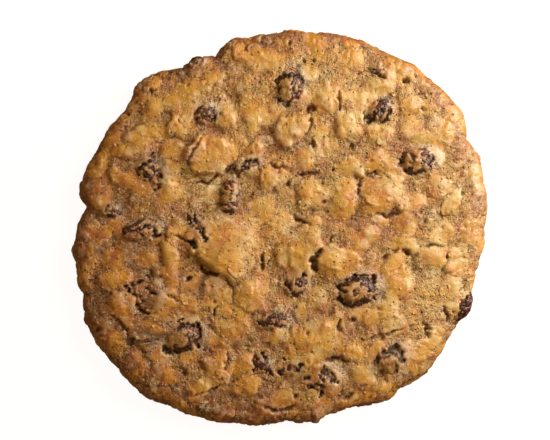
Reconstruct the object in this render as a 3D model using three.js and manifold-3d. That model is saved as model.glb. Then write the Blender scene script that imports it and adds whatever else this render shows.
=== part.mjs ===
// An oatmeal raisin cookie, 110 mm across: one baked dough body with a flat base, an uneven rim and
// a lumpy top, and the raisins that show in it, each a solid of its own in a socket of the dough.
// Millimetres, +Z up, origin at the middle of the flat base.
import * as THREE from "three";
import { mergeVertices } from "three/addons/utils/BufferGeometryUtils.js";
import Module from "manifold-3d";

const wasm = await Module();
wasm.setup();

// ---- Driving dimensions -------------------------------------------------------------------------

const MIDDLE_HEIGHT = 10.4; // top of the dough at the middle, before its lumps
const SHOULDER_HEIGHT = 6.8; // top of the dough where it starts to round over the rim
const SHOULDER_SHARE = 0.93; // where that shoulder is, as a share of the rim's radius
const WIDEST_HEIGHT = 2.6; // height of the widest line of the rim
const BASE_INSET = 2.2; // how far the flat base stays inside the widest line
const SOCKET_GAP = 0.35; // room between a raisin and its socket
const LIP_STEPS = 3; // facets from the shoulder down to the widest line
const TOP_RINGS = 19; // rings of triangles from the middle to the shoulder
const RING_SIDES = 6; // each ring has this many more steps than the ring inside it

// Radius of the rim at even steps round the cookie, counterclockwise from +X.
const RIM_RADII = [
  54.3, 55.3, 55.9, 55.9, 56.2, 55.5, 54.0, 53.9, 52.5,
  52.0, 51.0, 49.2, 49.8, 52.5, 52.1, 52.7, 52.6, 53.6,
  53.8, 55.1, 55.8, 57.4, 57.3, 57.3, 55.1, 54.4, 52.9,
  51.8, 51.8, 51.3, 53.6, 54.2, 54.2, 52.9, 52.0, 53.6,
];

// Small lobes (+) and nicks (-) of the rim: angle and half-width in degrees, height in mm.
const RIM_LOBES = [
  [13.8, 3, -0.9], [18.6, 2.5, 0.5], [24.7, 3.5, -0.9], [33, 3.5, 1.1], [45.7, 3, -0.7],
  [51.4, 3, 0.7], [74, 4, 0.8], [98, 3, -0.5], [105, 4.5, 1.3], [110.5, 2.5, -0.7],
  [134.5, 4.5, 1.2], [140.5, 2, -0.4], [154, 3, -0.4], [167, 3.5, 0.5], [174.5, 4, -2.2],
  [186.3, 3.5, 0.8], [195.5, 3, 0.5], [199, 2, -0.4], [204.8, 3.5, 0.6], [217.3, 2.5, 0.5],
  [235.4, 3, -0.7], [243.4, 3.5, 0.9], [272.2, 3, -0.7], [281.5, 2.5, 0.7], [285, 3, -0.9],
  [305.8, 3, -1.0], [315, 4.5, 1.0],
];

// Lumps (+) and dents (-) of the top: middle x, y, half-length, half-width, turn in degrees, height.
const TOP_LUMPS = [
  [-12, 0, 12, 9.5, 80, 2.5], [3.5, -5, 8, 8, 70, 1.8], [3, 26, 7, 6.5, 60, 1.7], [27, 9, 7.5, 7, -10, 2.2],
  [-17, 20, 10, 7, 25, 2.1], [16, -8.5, 9, 5.5, 0, 1.7], [9.5, -28.5, 9.5, 8, 35, 2.1], [-28, -9, 10, 4.5, 95, 2.0],
  [-9, -14, 6, 6, 0, 1.7], [-17, -16, 6, 5, 60, 1.4], [13, 34.5, 6.5, 6, 40, 1.5], [19, 28, 6, 5, 60, 1.4],
  [26.5, 19, 6, 5, 0, 1.6], [17, 9, 6.5, 5, 80, 1.4], [7, 10, 5, 4.5, 0, 1.4], [6.5, 18.5, 5.5, 5, 0, 1.4],
  [-13.5, 31.5, 7, 5, 20, 1.6], [-3, 44, 11, 5.5, 0, 1.1], [-37, 23, 6, 5, 30, 1.4], [-29, 10, 6, 5, 80, 1.4],
  [-48.5, 13, 9, 6, 85, 1.2], [-30, 31, 8, 6, 20, 1.1], [-43, -20, 7, 5, 90, 1.1], [-16.6, -35, 7, 5, 75, 1.5],
  [-20.5, -42, 6, 4, 25, 1.0], [31, -21, 9, 5.5, 80, 1.5], [41, -7.5, 6, 4.5, 0, 1.4], [30, -9, 7, 4.5, 80, 1.2],
  [27, 37, 7, 6, 30, 1.1], [41, 24, 7, 5, 0, 1.1], [22, -44, 8, 5, 20, 1.0], [-12, -25, 6, 4.5, 0, 1.0],
  [-35, -17, 6.5, 6, 0, -1.0], [9, 31, 3, 3, 0, -1.0], [-12, 14.5, 6, 3, 10, -1.2], [0, 14, 6, 3, -20, -1.2],
  [22, -24, 5, 4, 0, -1.0], [26, -1, 7, 3.5, 0, -1.1],
];

// Raisins: middle x, y, half-length, half-width, turn in degrees, how far each stands proud of the dough.
const RAISINS = [
  [2.8, 36.2, 5.4, 3.9, 78, 1.5], [-19.6, 29.6, 3.4, 2.8, 20, 1.2], [26.0, 30.6, 3.8, 2.6, 42, 1.3],
  [36.0, 17.2, 5.1, 3.8, 10, 1.5], [-34.4, 15.0, 4.9, 3.6, -50, 1.1], [-13.0, 7.8, 4.8, 2.2, 88, 1.0],
  [-36.6, -0.6, 5.3, 2.6, 16, 1.2], [-44.8, 4.1, 2.9, 2.2, 0, 0.7], [20.2, -16.8, 5.8, 4.4, 12, 1.7],
  [-25.4, -29.0, 5.2, 4.7, 10, 1.3], [-1.6, -24.2, 4.8, 2.5, 15, 1.1], [4.2, -15.2, 3.5, 2.5, 35, 0.9],
  [28.8, -34.8, 4.5, 4.0, 30, 1.4], [11.2, -39.8, 4.5, 3.5, 20, 1.2], [-36.2, -29.6, 4.6, 1.9, -6, 0.7],
  [-4.9, -36.4, 2.7, 2.2, 0, 0.9], [2.6, -37.4, 3.0, 1.8, 10, 0.6], [-21.8, 0.4, 4.2, 2.2, -58, 0.7],
  [-35.0, -17.8, 5.1, 4.2, 80, 0.6], [26.0, 40.8, 3.0, 1.7, -30, 0.5], [-22.0, 43.8, 2.7, 1.8, 12, 0.8],
  [-10.2, 16.3, 4.3, 1.6, 12, 0.7],
];

// The raisin that hangs over the rim: middle x, y, z, half-length, half-width, half-height, turn.
const RIM_RAISIN = { x: 48.2, y: -20.6, z: 4.6, length: 5.6, width: 3.2, height: 2.9, turn: 63 };
const RAISIN_HALF_HEIGHT = 0.82; // of a raisin's half-width
const RAISIN_STEPS = [10, 7]; // facets of a raisin, round it and from end to end
const FOLDS = 5; // lengthwise folds of a raisin's skin
const FOLD_DEPTH = 0.08; // of its radius

// ---- Finishes -----------------------------------------------------------------------------------

const doughFinish = new THREE.MeshStandardMaterial({ color: 0xb98347, roughness: 0.85, metalness: 0 });
const raisinFinish = new THREE.MeshStandardMaterial({ color: 0x38242a, roughness: 0.4, metalness: 0 });

// ---- Shapes -------------------------------------------------------------------------------------

const radians = THREE.MathUtils.degToRad;

// A smooth hill: 1 at distance 0, falling to 0 at distance 1.
function hill(distance) {
  return distance < 1 ? (1 - distance * distance) ** 2 : 0;
}

// The closed curve through RIM_RADII, read by angle: a cubic between each two of them.
function rimBase(angle) {
  const place = THREE.MathUtils.euclideanModulo(angle / (2 * Math.PI), 1) * RIM_RADII.length;
  const i = Math.floor(place);
  const t = place - i;
  const [a, b, c, d] = [-1, 0, 1, 2].map((k) => RIM_RADII.at((i + k) % RIM_RADII.length));
  return b + 0.5 * t * (c - a + t * (2 * a - 5 * b + 4 * c - d + t * (3 * (b - c) + d - a)));
}

// Radius of the widest line of the rim at an angle.
function rimRadius(angle) {
  const degrees = THREE.MathUtils.radToDeg(angle);
  const apart = (at) => Math.abs(THREE.MathUtils.euclideanModulo(degrees - at + 180, 360) - 180);
  return RIM_LOBES.reduce((r, [at, half, height]) => r + height * hill(apart(at) / half), rimBase(angle));
}

// What the lumps and dents add to the top at a place.
function lumps(x, y) {
  let sum = 0;
  for (const [cx, cy, half, across, turn, height] of TOP_LUMPS) {
    const c = Math.cos(radians(turn));
    const s = Math.sin(radians(turn));
    const along = (x - cx) * c + (y - cy) * s;
    const side = (y - cy) * c - (x - cx) * s;
    sum += height * hill(Math.hypot(along / half, side / across));
  }
  return sum;
}

// Height of the dough's dome, without lumps, at a share of the rim's radius up to the shoulder.
function dome(share) {
  const t = Math.min(share / SHOULDER_SHARE, 1);
  return SHOULDER_HEIGHT + (MIDDLE_HEIGHT - SHOULDER_HEIGHT) * (1 - t ** 3);
}

// Height of the finished top at a place, for seating the raisins.
function topHeight(x, y) {
  const share = Math.hypot(x, y) / rimRadius(Math.atan2(y, x));
  return dome(share) + lumps(x, y) * lumpShare(share);
}

// Lumps fade out between the shoulder and the rim.
function lumpShare(share) {
  return 1 - THREE.MathUtils.smoothstep(share, SHOULDER_SHARE - 0.08, 1);
}

// A geometry as a closed solid of the boolean library: only positions, shared vertices merged.
function solid(geometry) {
  const bare = geometry.clone();
  bare.deleteAttribute("normal");
  bare.deleteAttribute("uv");
  const merged = mergeVertices(bare, 1e-4);
  const vertProperties = new Float32Array(merged.attributes.position.array);
  return new wasm.Manifold(new wasm.Mesh({ numProp: 3, vertProperties, triVerts: new Uint32Array(merged.index.array) }));
}

// A solid back as a geometry with normals.
function geometryOf(made) {
  const mesh = made.getMesh();
  const geometry = new THREE.BufferGeometry();
  geometry.setAttribute("position", new THREE.BufferAttribute(new Float32Array(mesh.vertProperties), 3));
  geometry.setIndex(new THREE.BufferAttribute(new Uint32Array(mesh.triVerts), 1));
  geometry.computeVertexNormals();
  return geometry;
}

// The rows of the dough from the middle of the top, out to the shoulder, round the rim and under to
// the base: each with its share of the rim's radius, its height and its number of steps round.
function doughRows() {
  const sectors = TOP_RINGS * RING_SIDES;
  const rows = [];
  for (let ring = 0; ring <= TOP_RINGS; ring += 1) {
    const share = SHOULDER_SHARE * (ring / TOP_RINGS);
    rows.push({ share, height: dome(share), steps: Math.max(ring * RING_SIDES, 1) });
  }
  for (let i = 1; i <= LIP_STEPS; i += 1) {
    const turn = (Math.PI / 2) * (i / LIP_STEPS);
    const share = SHOULDER_SHARE + (1 - SHOULDER_SHARE) * Math.sin(turn);
    const height = WIDEST_HEIGHT + (SHOULDER_HEIGHT - WIDEST_HEIGHT) * Math.cos(turn);
    rows.push({ share, height, steps: sectors });
  }
  const base = 1 - BASE_INSET / (RIM_RADII.reduce((sum, r) => sum + r, 0) / RIM_RADII.length);
  rows.push({ share: (1 + base) / 2, height: WIDEST_HEIGHT * 0.3, steps: sectors });
  rows.push({ share: base, height: 0, steps: sectors });
  rows.push({ share: 0, height: 0, steps: 1 });
  return rows;
}

// The triangles between two rows of vertices, walking round both together. Each row is the index of
// its first vertex and its number of steps, and a row of one step is a point.
function band([inner, innerSteps], [outer, outerSteps]) {
  const faces = [];
  const innerEnd = innerSteps > 1 ? innerSteps : 0;
  const outerEnd = outerSteps > 1 ? outerSteps : 0;
  let i = 0;
  let o = 0;
  while (i < innerEnd || o < outerEnd) {
    const from = [inner + (i % innerSteps), outer + (o % outerSteps)];
    const stepOuter = i === innerEnd || (o < outerEnd && (o + 0.5) / outerEnd <= (i + 0.5) / innerEnd);
    if (stepOuter) o += 1;
    else i += 1;
    faces.push(...from, stepOuter ? outer + (o % outerSteps) : inner + (i % innerSteps));
  }
  return faces;
}

// The whole dough as one closed surface: rows that follow the rim, with the lumps on the top.
function doughGeometry() {
  const positions = [];
  const faces = [];
  let above = null;
  for (const { share, height, steps } of doughRows()) {
    const row = [positions.length / 3, steps];
    const onTop = height > WIDEST_HEIGHT ? lumpShare(share) : 0;
    for (let step = 0; step < steps; step += 1) {
      const angle = 2 * Math.PI * (step / steps);
      const x = share * rimRadius(angle) * Math.cos(angle);
      const y = share * rimRadius(angle) * Math.sin(angle);
      positions.push(x, y, height + onTop * lumps(x, y));
    }
    if (above) faces.push(...band(above, row));
    above = row;
  }
  const geometry = new THREE.BufferGeometry();
  geometry.setAttribute("position", new THREE.Float32BufferAttribute(positions, 3));
  geometry.setIndex(faces);
  return geometry;
}

// A raisin grown by extra all round: an ellipsoid with lengthwise folds, lying along X.
function raisinGeometry(length, width, height, extra) {
  const geometry = new THREE.SphereGeometry(1, ...RAISIN_STEPS).rotateZ(-Math.PI / 2);
  const at = geometry.getAttribute("position");
  for (let i = 0; i < at.count; i += 1) {
    const round = Math.atan2(at.getZ(i), at.getY(i));
    const fold = 1 + FOLD_DEPTH * Math.cos(FOLDS * round) * (1 - at.getX(i) ** 2);
    at.setXYZ(
      i,
      at.getX(i) * (length + extra),
      at.getY(i) * (width * fold + extra),
      at.getZ(i) * (height * fold + extra),
    );
  }
  return geometry;
}

// ---- The cookie ---------------------------------------------------------------------------------

const cookie = new THREE.Group();
const seats = RAISINS.map(([x, y, length, width, turn, proud], i) => {
  const height = width * RAISIN_HALF_HEIGHT;
  const name = `raisin_${String(i + 1).padStart(2, "0")}`;
  return { name, x, y, z: topHeight(x, y) + proud - height, length, width, height, turn };
});
seats.push({ name: "raisin_rim", ...RIM_RAISIN });

let dough = solid(doughGeometry());
for (const { name, x, y, z, length, width, height, turn } of seats) {
  const place = new THREE.Matrix4().makeRotationZ(radians(turn)).setPosition(x, y, z);
  dough = dough.subtract(solid(raisinGeometry(length, width, height, SOCKET_GAP).applyMatrix4(place)));
  const raisin = new THREE.Mesh(raisinGeometry(length, width, height, 0), raisinFinish);
  raisin.name = name;
  raisin.position.set(x, y, z);
  raisin.rotation.z = radians(turn);
  cookie.add(raisin);
}

const body = new THREE.Mesh(geometryOf(dough), doughFinish);
body.name = "dough";
cookie.add(body);

const extent = new THREE.Box3().setFromObject(cookie);
const middle = extent.getCenter(new THREE.Vector3());
cookie.position.set(-middle.x, -middle.y, -extent.min.z);

export default cookie;
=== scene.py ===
# %% [markdown]
# # An oatmeal raisin cookie
#
# A large bakery cookie lies on a pale table and is seen from straight above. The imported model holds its
# real size: one solid of dough with a flat base, and one solid for each raisin that shows. This lesson
# keeps those as a frame and builds the surfaces that the eye sees around them: a lumpy baked crust with
# pores and cracks, oat flakes that stand out of it, crumbs, and wrinkled raisins.

# %% Load the frame
import bpy
import numpy as np
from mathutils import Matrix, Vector


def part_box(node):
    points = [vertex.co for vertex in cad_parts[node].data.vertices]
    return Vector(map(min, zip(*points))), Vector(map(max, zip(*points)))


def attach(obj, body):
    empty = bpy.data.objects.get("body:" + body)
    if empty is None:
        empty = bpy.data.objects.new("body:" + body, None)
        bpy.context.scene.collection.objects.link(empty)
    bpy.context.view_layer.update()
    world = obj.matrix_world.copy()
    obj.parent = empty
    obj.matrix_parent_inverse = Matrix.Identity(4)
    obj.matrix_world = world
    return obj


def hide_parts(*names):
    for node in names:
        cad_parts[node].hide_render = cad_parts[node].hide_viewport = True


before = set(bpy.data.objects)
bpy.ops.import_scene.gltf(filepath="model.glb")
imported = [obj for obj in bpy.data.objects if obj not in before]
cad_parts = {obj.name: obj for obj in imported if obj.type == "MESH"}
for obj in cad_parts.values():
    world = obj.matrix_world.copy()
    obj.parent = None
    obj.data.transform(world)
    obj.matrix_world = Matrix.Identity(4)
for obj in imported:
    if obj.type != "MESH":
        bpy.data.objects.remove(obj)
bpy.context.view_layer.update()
MM = 0.001
print("frame nodes:", len(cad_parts))

# %% [markdown]
# ## Reading sizes from the frame
#
# Every place below is on a map of the cookie that is 110 units wide with its origin at the cookie's middle.
# The width of the dough in the frame gives the size of one unit, so a larger cookie in the frame gets
# larger lumps. The outline of the rim and the place of each raisin are read from the frame's own vertices.

# %% Sizes from the frame
dough_low, dough_high = (np.array(corner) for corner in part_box("dough"))
MAP_WIDTH = 110.0
UNIT = (dough_high[0] - dough_low[0]) / MAP_WIDTH
TOP = dough_high[2] / UNIT
RIM_RAISIN = "raisin_rim"
RAISINS = sorted(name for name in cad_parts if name.startswith("raisin"))


def node_points(name):
    """The vertices of a frame node as an array, in map units."""
    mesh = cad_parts[name].data
    points = np.empty(len(mesh.vertices) * 3)
    mesh.vertices.foreach_get("co", points)
    return points.reshape(-1, 3) / UNIT


def angle_of(points):
    """Angle round the cookie of each point, from -pi to pi."""
    return np.arctan2(points[..., 1], points[..., 0])


dough_points = node_points("dough")
print(f"dough: {MAP_WIDTH * UNIT / MM:.1f} mm wide, {TOP:.1f} units high, {len(RAISINS)} raisins")

# %% [markdown]
# The rim is read as one radius for each small sector: the largest radius of any vertex in it. The raisin
# that hangs over the rim has cut a socket there, so its sectors are skipped and the outline runs straight
# across.

# %% The outline of the rim
SECTORS = 114
SOCKET_MARGIN = 0.05
sector = np.round(angle_of(dough_points) * SECTORS / (2 * np.pi)).astype(int) % SECTORS
sector_radius = np.zeros(SECTORS)
np.maximum.at(sector_radius, sector, np.hypot(dough_points[:, 0], dough_points[:, 1]))
sector_angle = np.arange(SECTORS) * 2 * np.pi / SECTORS
gap = angle_of(node_points(RIM_RAISIN)) % (2 * np.pi)
whole = (sector_angle < gap.min() - SOCKET_MARGIN) | (sector_angle > gap.max() + SOCKET_MARGIN)


def rim_radius(angle):
    """Radius of the rim at an angle: straight between the sectors of the frame's outline."""
    return np.interp(angle, sector_angle[whole], sector_radius[whole], period=2 * np.pi)


MEAN_RADIUS = sector_radius[whole].mean()
print(f"rim radius: {sector_radius[whole].min():.1f} to {sector_radius[whole].max():.1f}")

# %% [markdown]
# ## Noise made from whole arrays
#
# A crust is uneven at every size, from swells as wide as a spoon to grains of sugar. Blender has noise
# textures, but they only colour or bump a surface. Here the noise moves the mesh itself, so the lumps have
# true sides and cast true shade. It is written with numpy: each function takes all points at once.

# %% Noise
def lattice(corner, seed):
    """A repeatable random number from -1 to 1 for each whole-number corner. Large odd factors and shifts
    mix its three numbers, so that neighbours get unrelated results."""
    mixed = corner[:, 0] * 73856093 ^ corner[:, 1] * 19349663 ^ corner[:, 2] * 83492791 ^ seed * 2654435
    mixed = (mixed ^ (mixed >> 13)) * 1274126177 & 0xFFFFFFFF
    return ((mixed ^ (mixed >> 16)) & 0xFFFF) / 32767.5 - 1


def noise(points, size, seed):
    """Gradient noise from about -1 to 1: at each corner of a grid of cubes a random slope, blended
    between the eight corners round a point with a smooth step."""
    place = points / size
    corner = np.floor(place).astype(np.int64)
    part = place - corner
    ease = part ** 3 * (part * (part * 6 - 15) + 10)
    total = np.zeros(len(points))
    for step in np.ndindex(2, 2, 2):
        weight = np.prod(np.where(step, ease, 1 - ease), axis=1)
        for axis in range(3):
            slope = lattice(corner + step, seed * 3 + axis)
            total += weight * (part[:, axis] - step[axis]) * slope
    return 1.5 * total


def fractal(points, size, seed, octaves, fade=0.55):
    """A sum of noises, each half the size of the one before and fade times as strong."""
    return sum(fade ** k * noise(points, size / 2 ** k, seed + 17 * k) for k in range(octaves))


def fade_in(value, start, end):
    """A smooth step: 0 up to start, 1 from end, and an S curve between. start may be the larger of the
    two."""
    share = np.clip((value - start) / (end - start), 0, 1)
    return share * share * (3 - 2 * share)


probe = np.array([[0.5, 0.2, 0], [3.1, 4.7, 0], [9.4, 2.2, 0]])
print("noise at three points:", noise(probe, 2.0, 1).round(2))

# %% [markdown]
# ## A grid bent to a disc
#
# The crust needs faces of the same size everywhere, which a fan of rings can't give: its faces are slivers
# in the middle. Instead a square grid is bent: each square ring of the grid becomes a circle, so the faces
# stay nearly square. The outermost ring lies under the cookie, where the rim meets the flat base.

# %% The grid
SQUARES = 290


def disc_grid(squares):
    """A square grid from -1 to 1 bent to the unit disc: a point's larger coordinate becomes its radius,
    and the ratio of the smaller to the larger becomes its angle within the quarter."""
    line = np.linspace(-1, 1, squares + 1)
    u, v = np.meshgrid(line, line)
    wide = np.abs(u) >= np.abs(v)
    reach = np.where(wide, u, v)
    ratio = np.where(wide, v, u) / np.where(reach == 0, 1, reach)
    turn = np.where(wide, np.pi / 4 * ratio, np.pi / 2 - np.pi / 4 * ratio)
    return np.stack([reach * np.cos(turn), reach * np.sin(turn)], -1)


def soften(field, reach):
    """A blur over the grid's rows and columns with a bell curve whose half-width is reach grid steps."""
    image = field.reshape(SQUARES + 1, SQUARES + 1)
    steps = np.arange(-int(3 * reach), int(3 * reach) + 1)
    weights = np.exp(-0.5 * (steps / reach) ** 2)
    for axis in (0, 1):
        width = [(len(steps) // 2,) * 2 if axis == side else (0, 0) for side in (0, 1)]
        padded = np.pad(image, width, mode="edge")
        rows = [np.take(padded, range(k, k + SQUARES + 1), axis=axis) for k in range(len(steps))]
        image = sum(w * row for w, row in zip(weights / weights.sum(), rows))
    return image.ravel()


disc = disc_grid(SQUARES)
share_out = np.hypot(disc[..., 0], disc[..., 1]).ravel()
round_angle = angle_of(disc).ravel()
print("grid points:", len(share_out))

# %% [markdown]
# The cookie's section runs from the middle of the top out to a shoulder, round the rim and under to the
# base. Points are spread evenly along that path. Each grid point also gets an unrolled place: its
# direction, at the distance along the surface. Noise read there is as coarse on the rim as it is on the
# top.

# %% The section
MIDDLE = 0.80 * TOP
SHOULDER = 0.53 * TOP
WIDEST = 0.21 * TOP
SHOULDER_SHARE = 0.93
BASE_SHARE = 0.96


def section():
    """The path from the middle of the top to the base, as shares of the radius and heights: a cubic
    dome, a quarter of an ellipse round the rim, and a shallow curve under to the base."""
    out = np.linspace(0, 1, 120)
    turn = np.linspace(0, np.pi / 2, 60)[1:]
    under = np.linspace(0, 1, 30)[1:]
    share = [SHOULDER_SHARE * out, SHOULDER_SHARE + (1 - SHOULDER_SHARE) * np.sin(turn)]
    height = [SHOULDER + (MIDDLE - SHOULDER) * (1 - out ** 3), WIDEST + (SHOULDER - WIDEST) * np.cos(turn)]
    share.append(1 - (1 - BASE_SHARE) * under ** 2)
    height.append(WIDEST * (1 - under))
    return np.concatenate(share), np.concatenate(height)


path_share, path_height = section()
path_step = np.hypot(np.diff(path_share) * MEAN_RADIUS, np.diff(path_height))
path_length = np.concatenate([[0], np.cumsum(path_step)])
slope_out = np.gradient(path_share * MEAN_RADIUS, path_length)
slope_up = np.gradient(path_height, path_length)
print(f"section: {path_length[-1]:.1f} units from the middle to the base")

# %% The smooth cookie
along = share_out * path_length[-1]
radius = rim_radius(round_angle)
share = np.interp(along, path_length, path_share)
direction = np.stack([np.cos(round_angle), np.sin(round_angle)], 1)
base = np.zeros((len(along), 3))
base[:, :2] = direction * (share * radius)[:, None]
base[:, 2] = np.interp(along, path_length, path_height)
facing = np.zeros_like(base)
facing[:, :2] = direction * -np.interp(along, path_length, slope_up)[:, None]
facing[:, 2] = np.interp(along, path_length, slope_out)
facing /= np.linalg.norm(facing, axis=1)[:, None]
unrolled = np.zeros_like(base)
unrolled[:, :2] = direction * (along * radius / MEAN_RADIUS)[:, None]
print(f"smooth cookie: {base[:, 2].max():.1f} units high")

# %% [markdown]
# ## Lumps and plates
#
# Spoonfuls of thick dough melt together in the oven, and oat flakes lie all through them. So the crust is a
# pile of plates with flat tops and steep, frayed sides. The places of the larger ones are listed one by one,
# and smaller ones are scattered between them. Where two overlap, only the higher one shows, which leaves a
# crisp crease between them.

# %% Listed lumps
LUMPS = [  # middle x, y, half-length, half-width, turn in degrees, height
    (-13.0, -1.0, 12.0, 9.4, 78, 2.6), (-16.5, 20.0, 7.6, 5.2, 20, 2.3), (-13.8, 31.0, 4.3, 3.4, 75, 1.7),
    (-25.0, 34.0, 5.8, 5.2, 90, 1.3), (-37.0, 21.5, 4.3, 3.6, 30, 1.5), (-48.0, 12.5, 7.8, 4.8, 84, 1.4),
    (-29.0, 10.0, 4.2, 3.0, 80, 1.5), (-28.0, 21.5, 4.2, 3.2, 60, 1.2), (-3.0, 44.5, 7.0, 3.8, 2, 1.1),
    (-33.5, 31.0, 4.0, 3.0, 40, 1.0), (-40.5, 31.5, 4.2, 2.8, 55, 0.9), (-43.5, 23.5, 3.4, 2.6, 60, 0.9),
    (4.0, 26.0, 4.8, 4.3, 40, 2.1), (6.5, 18.5, 3.4, 3.0, 80, 1.5), (13.0, 32.8, 3.7, 3.1, 80, 1.6),
    (18.5, 27.5, 4.0, 3.6, 60, 1.6), (18.5, 34.2, 2.8, 2.3, 20, 1.2), (26.7, 24.4, 3.1, 2.3, 20, 1.4),
    (26.3, 18.0, 4.5, 3.2, 5, 1.8), (26.8, 9.0, 5.8, 5.1, -15, 2.3), (17.2, 8.5, 4.7, 3.6, 80, 1.6),
    (7.0, 10.0, 3.2, 2.8, 0, 1.6), (42.7, 11.5, 3.8, 1.9, -40, 1.3), (42.0, 24.0, 5.2, 3.8, 40, 1.0),
    (27.0, 37.5, 5.0, 3.8, 30, 1.1), (36.0, 7.0, 3.4, 3.0, 50, 1.1), (34.5, 26.5, 3.4, 2.6, 70, 1.0),
    (3.5, -5.5, 7.0, 6.2, 20, 2.1), (16.5, -8.8, 8.0, 4.2, -4, 1.9), (30.0, -12.0, 4.6, 3.2, 80, 1.5),
    (29.5, -22.0, 6.4, 3.2, 80, 1.5), (9.0, -29.0, 7.8, 5.9, 50, 2.3), (15.6, -28.5, 4.9, 1.9, 84, 1.2),
    (40.6, -7.5, 4.1, 2.7, 0, 1.8), (47.8, -8.0, 3.6, 2.9, 80, 1.3), (45.0, -15.5, 3.6, 2.8, 60, 1.0),
    (-28.4, -9.5, 8.0, 2.7, 100, 2.1), (-16.2, -17.4, 5.4, 4.4, 60, 1.8), (-7.6, -16.4, 5.4, 4.4, 80, 1.9),
    (-16.4, -35.0, 5.3, 3.3, 84, 1.9), (-20.5, -42.0, 4.8, 2.4, 24, 1.3), (-41.5, -13.0, 3.9, 3.0, 40, 1.4),
    (-42.5, -21.0, 4.4, 2.9, -60, 1.2), (-33.0, -25.6, 4.4, 1.9, -10, 1.4),
    (-9.6, -36.3, 3.6, 3.3, 30, 1.5), (-13.0, -26.2, 4.4, 3.2, 0, 1.3), (1.0, -45.4, 5.0, 2.9, 5, 1.1),
    (14.2, -41.4, 4.4, 3.2, 80, 1.3), (22.8, -38.4, 3.8, 3.4, 60, 1.1), (22.0, -45.0, 5.2, 2.6, 14, 0.9),
    (34.2, -33.0, 4.2, 2.4, 100, 1.3), (-45.0, -28.0, 4.6, 2.5, -52, 1.0),
    (-38.5, -35.5, 4.8, 3.2, -45, 1.1), (-30.5, -39.0, 4.2, 2.8, -30, 1.0),
    (-51.0, -7.0, 4.2, 2.8, 80, 1.0), (-47.0, -2.0, 3.6, 2.6, 30, 0.9), (33.5, 1.0, 3.6, 3.0, 20, 1.3),
    (24.0, -1.5, 3.4, 2.8, 60, 1.2), (-24.0, -20.5, 3.6, 3.0, 30, 1.2), (-3.0, 4.5, 3.6, 2.6, 70, 1.1),
]
print("lumps chosen by hand:", len(LUMPS))

# %% [markdown]
# Smooth bumps would look like pebbles, because broken dough has corners. So each plate is an oval with
# straight chips taken off its edge, and the points are bent a little before the plate is read, which makes
# the outline wander and fray.

# %% Plates and how they pile up
CHIP_SHARE = 0.78
OFF_PLATES = 1.6


def bend(points, pushes, seed):
    """Points pushed aside by smooth noises, each with its own reach and size, so that outlines wander
    and fray."""
    moved = points.copy()
    for step, (reach, size) in enumerate(pushes):
        for axis in (0, 1):
            moved[:, axis] += reach * noise(points, size, seed + 2 * step + axis)
    return moved


def plate_share(points, middle, half_length, half_width, turn, chips):
    """How far out in a plate each point is, 0 in its middle and 1 on its edge, and its place along the
    plate. The plate is an oval from which straight chips are broken off: the share is the oval's own, or
    the distance towards a chip / CHIP_SHARE where that is larger."""
    away = points[:, :2] - middle
    along_x = away[:, 0] * np.cos(turn) + away[:, 1] * np.sin(turn)
    along_y = away[:, 1] * np.cos(turn) - away[:, 0] * np.sin(turn)
    u, v = along_x / half_length, along_y / half_width
    out = np.hypot(u, v)
    for chip in chips:
        out = np.maximum(out, (u * np.cos(chip) + v * np.sin(chip)) / CHIP_SHARE)
    return out, along_x, along_y


def pile(points, plates, ground, power, flat):
    """The height of the highest of the plates and the ground at each point, how far out in that plate
    the point is, and which plate it is. A plate's top is its level + rise * (flat * sqrt(1 - out^power)
    + (1 - flat) * (1 - out)), tilted by its own slope: first a flat top with a steep edge, then a mound
    with facets."""
    height = ground.copy()
    how_far = np.full(len(points), OFF_PLATES)
    owner = np.full(len(points), -1)
    for index, (x, y, length, width, turn, chips, rise, tilt_x, tilt_y, level) in enumerate(plates):
        near = np.flatnonzero(np.abs(points[:, :2] - (x, y)).max(1) < length)
        out, px, py = plate_share(points[near], (x, y), length, width, turn, chips)
        plateau = np.sqrt(np.maximum(1 - out ** power, 0))
        top = level + rise * (flat * plateau + (1 - flat) * (1 - out)) + tilt_x * px + tilt_y * py
        higher = (top > height[near]) & (out < 1)
        shown = near[higher]
        height[shown], how_far[shown], owner[shown] = top[higher], out[higher], index
    return height, how_far, owner


def scattered(spacing, limit, seed):
    """Places for small things: one in each square of a grid, moved at random, out to a limit."""
    draw = np.random.default_rng(seed)
    line = np.arange(-limit, limit + spacing, spacing)
    places = np.stack(np.meshgrid(line, line), -1).reshape(-1, 2)
    places = places + draw.uniform(-0.5, 0.5, places.shape) * spacing
    return places[np.hypot(*places.T) < limit]


print("small things every 8.5 units:", len(scattered(8.5, MEAN_RADIUS, 13)))

# %% The lumpy ground
PLATE_SIZE = 1.15
PLATE_RISE = 0.66
PLATE_TILT = 0.09
PLATE_LEVEL = 0.1
rng = np.random.default_rng(11)
rim_share = fade_in(share, 0.84, 1.0)
swell = 0.6 * noise(unrolled, 26.0, 61) + 0.6 * noise(unrolled, 13.0, 62) + 0.32 * noise(unrolled, 6.5, 63)
more_lumps = [(x, y, rng.uniform(2.6, 4.6), rng.uniform(2.2, 3.2), rng.uniform(0, 180), rng.uniform(0.4, 1.4))
              for x, y in scattered(8.5, 0.97 * path_length[-1], 13)]
plates = [(x, y, PLATE_SIZE * a, PLATE_SIZE * b, np.radians(turn), rng.uniform(0, 2 * np.pi, 3),
           PLATE_RISE * rise, *rng.normal(0, PLATE_TILT, 2), PLATE_LEVEL)
          for x, y, a, b, turn, rise in LUMPS + more_lumps]
frayed = bend(unrolled, ((1.1, 7.0), (0.28, 2.2), (0.12, 0.9)), 21)
lumpy, lump_out, lump_owner = pile(frayed, plates, 0.5 * noise(unrolled, 9.0, 64), power=3.0, flat=0.45)
lumpy = soften(lumpy, 1.3)
on_lump = fade_in(lump_out, 1.0, 0.7)
loose = 1 - 0.75 * on_lump
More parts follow.
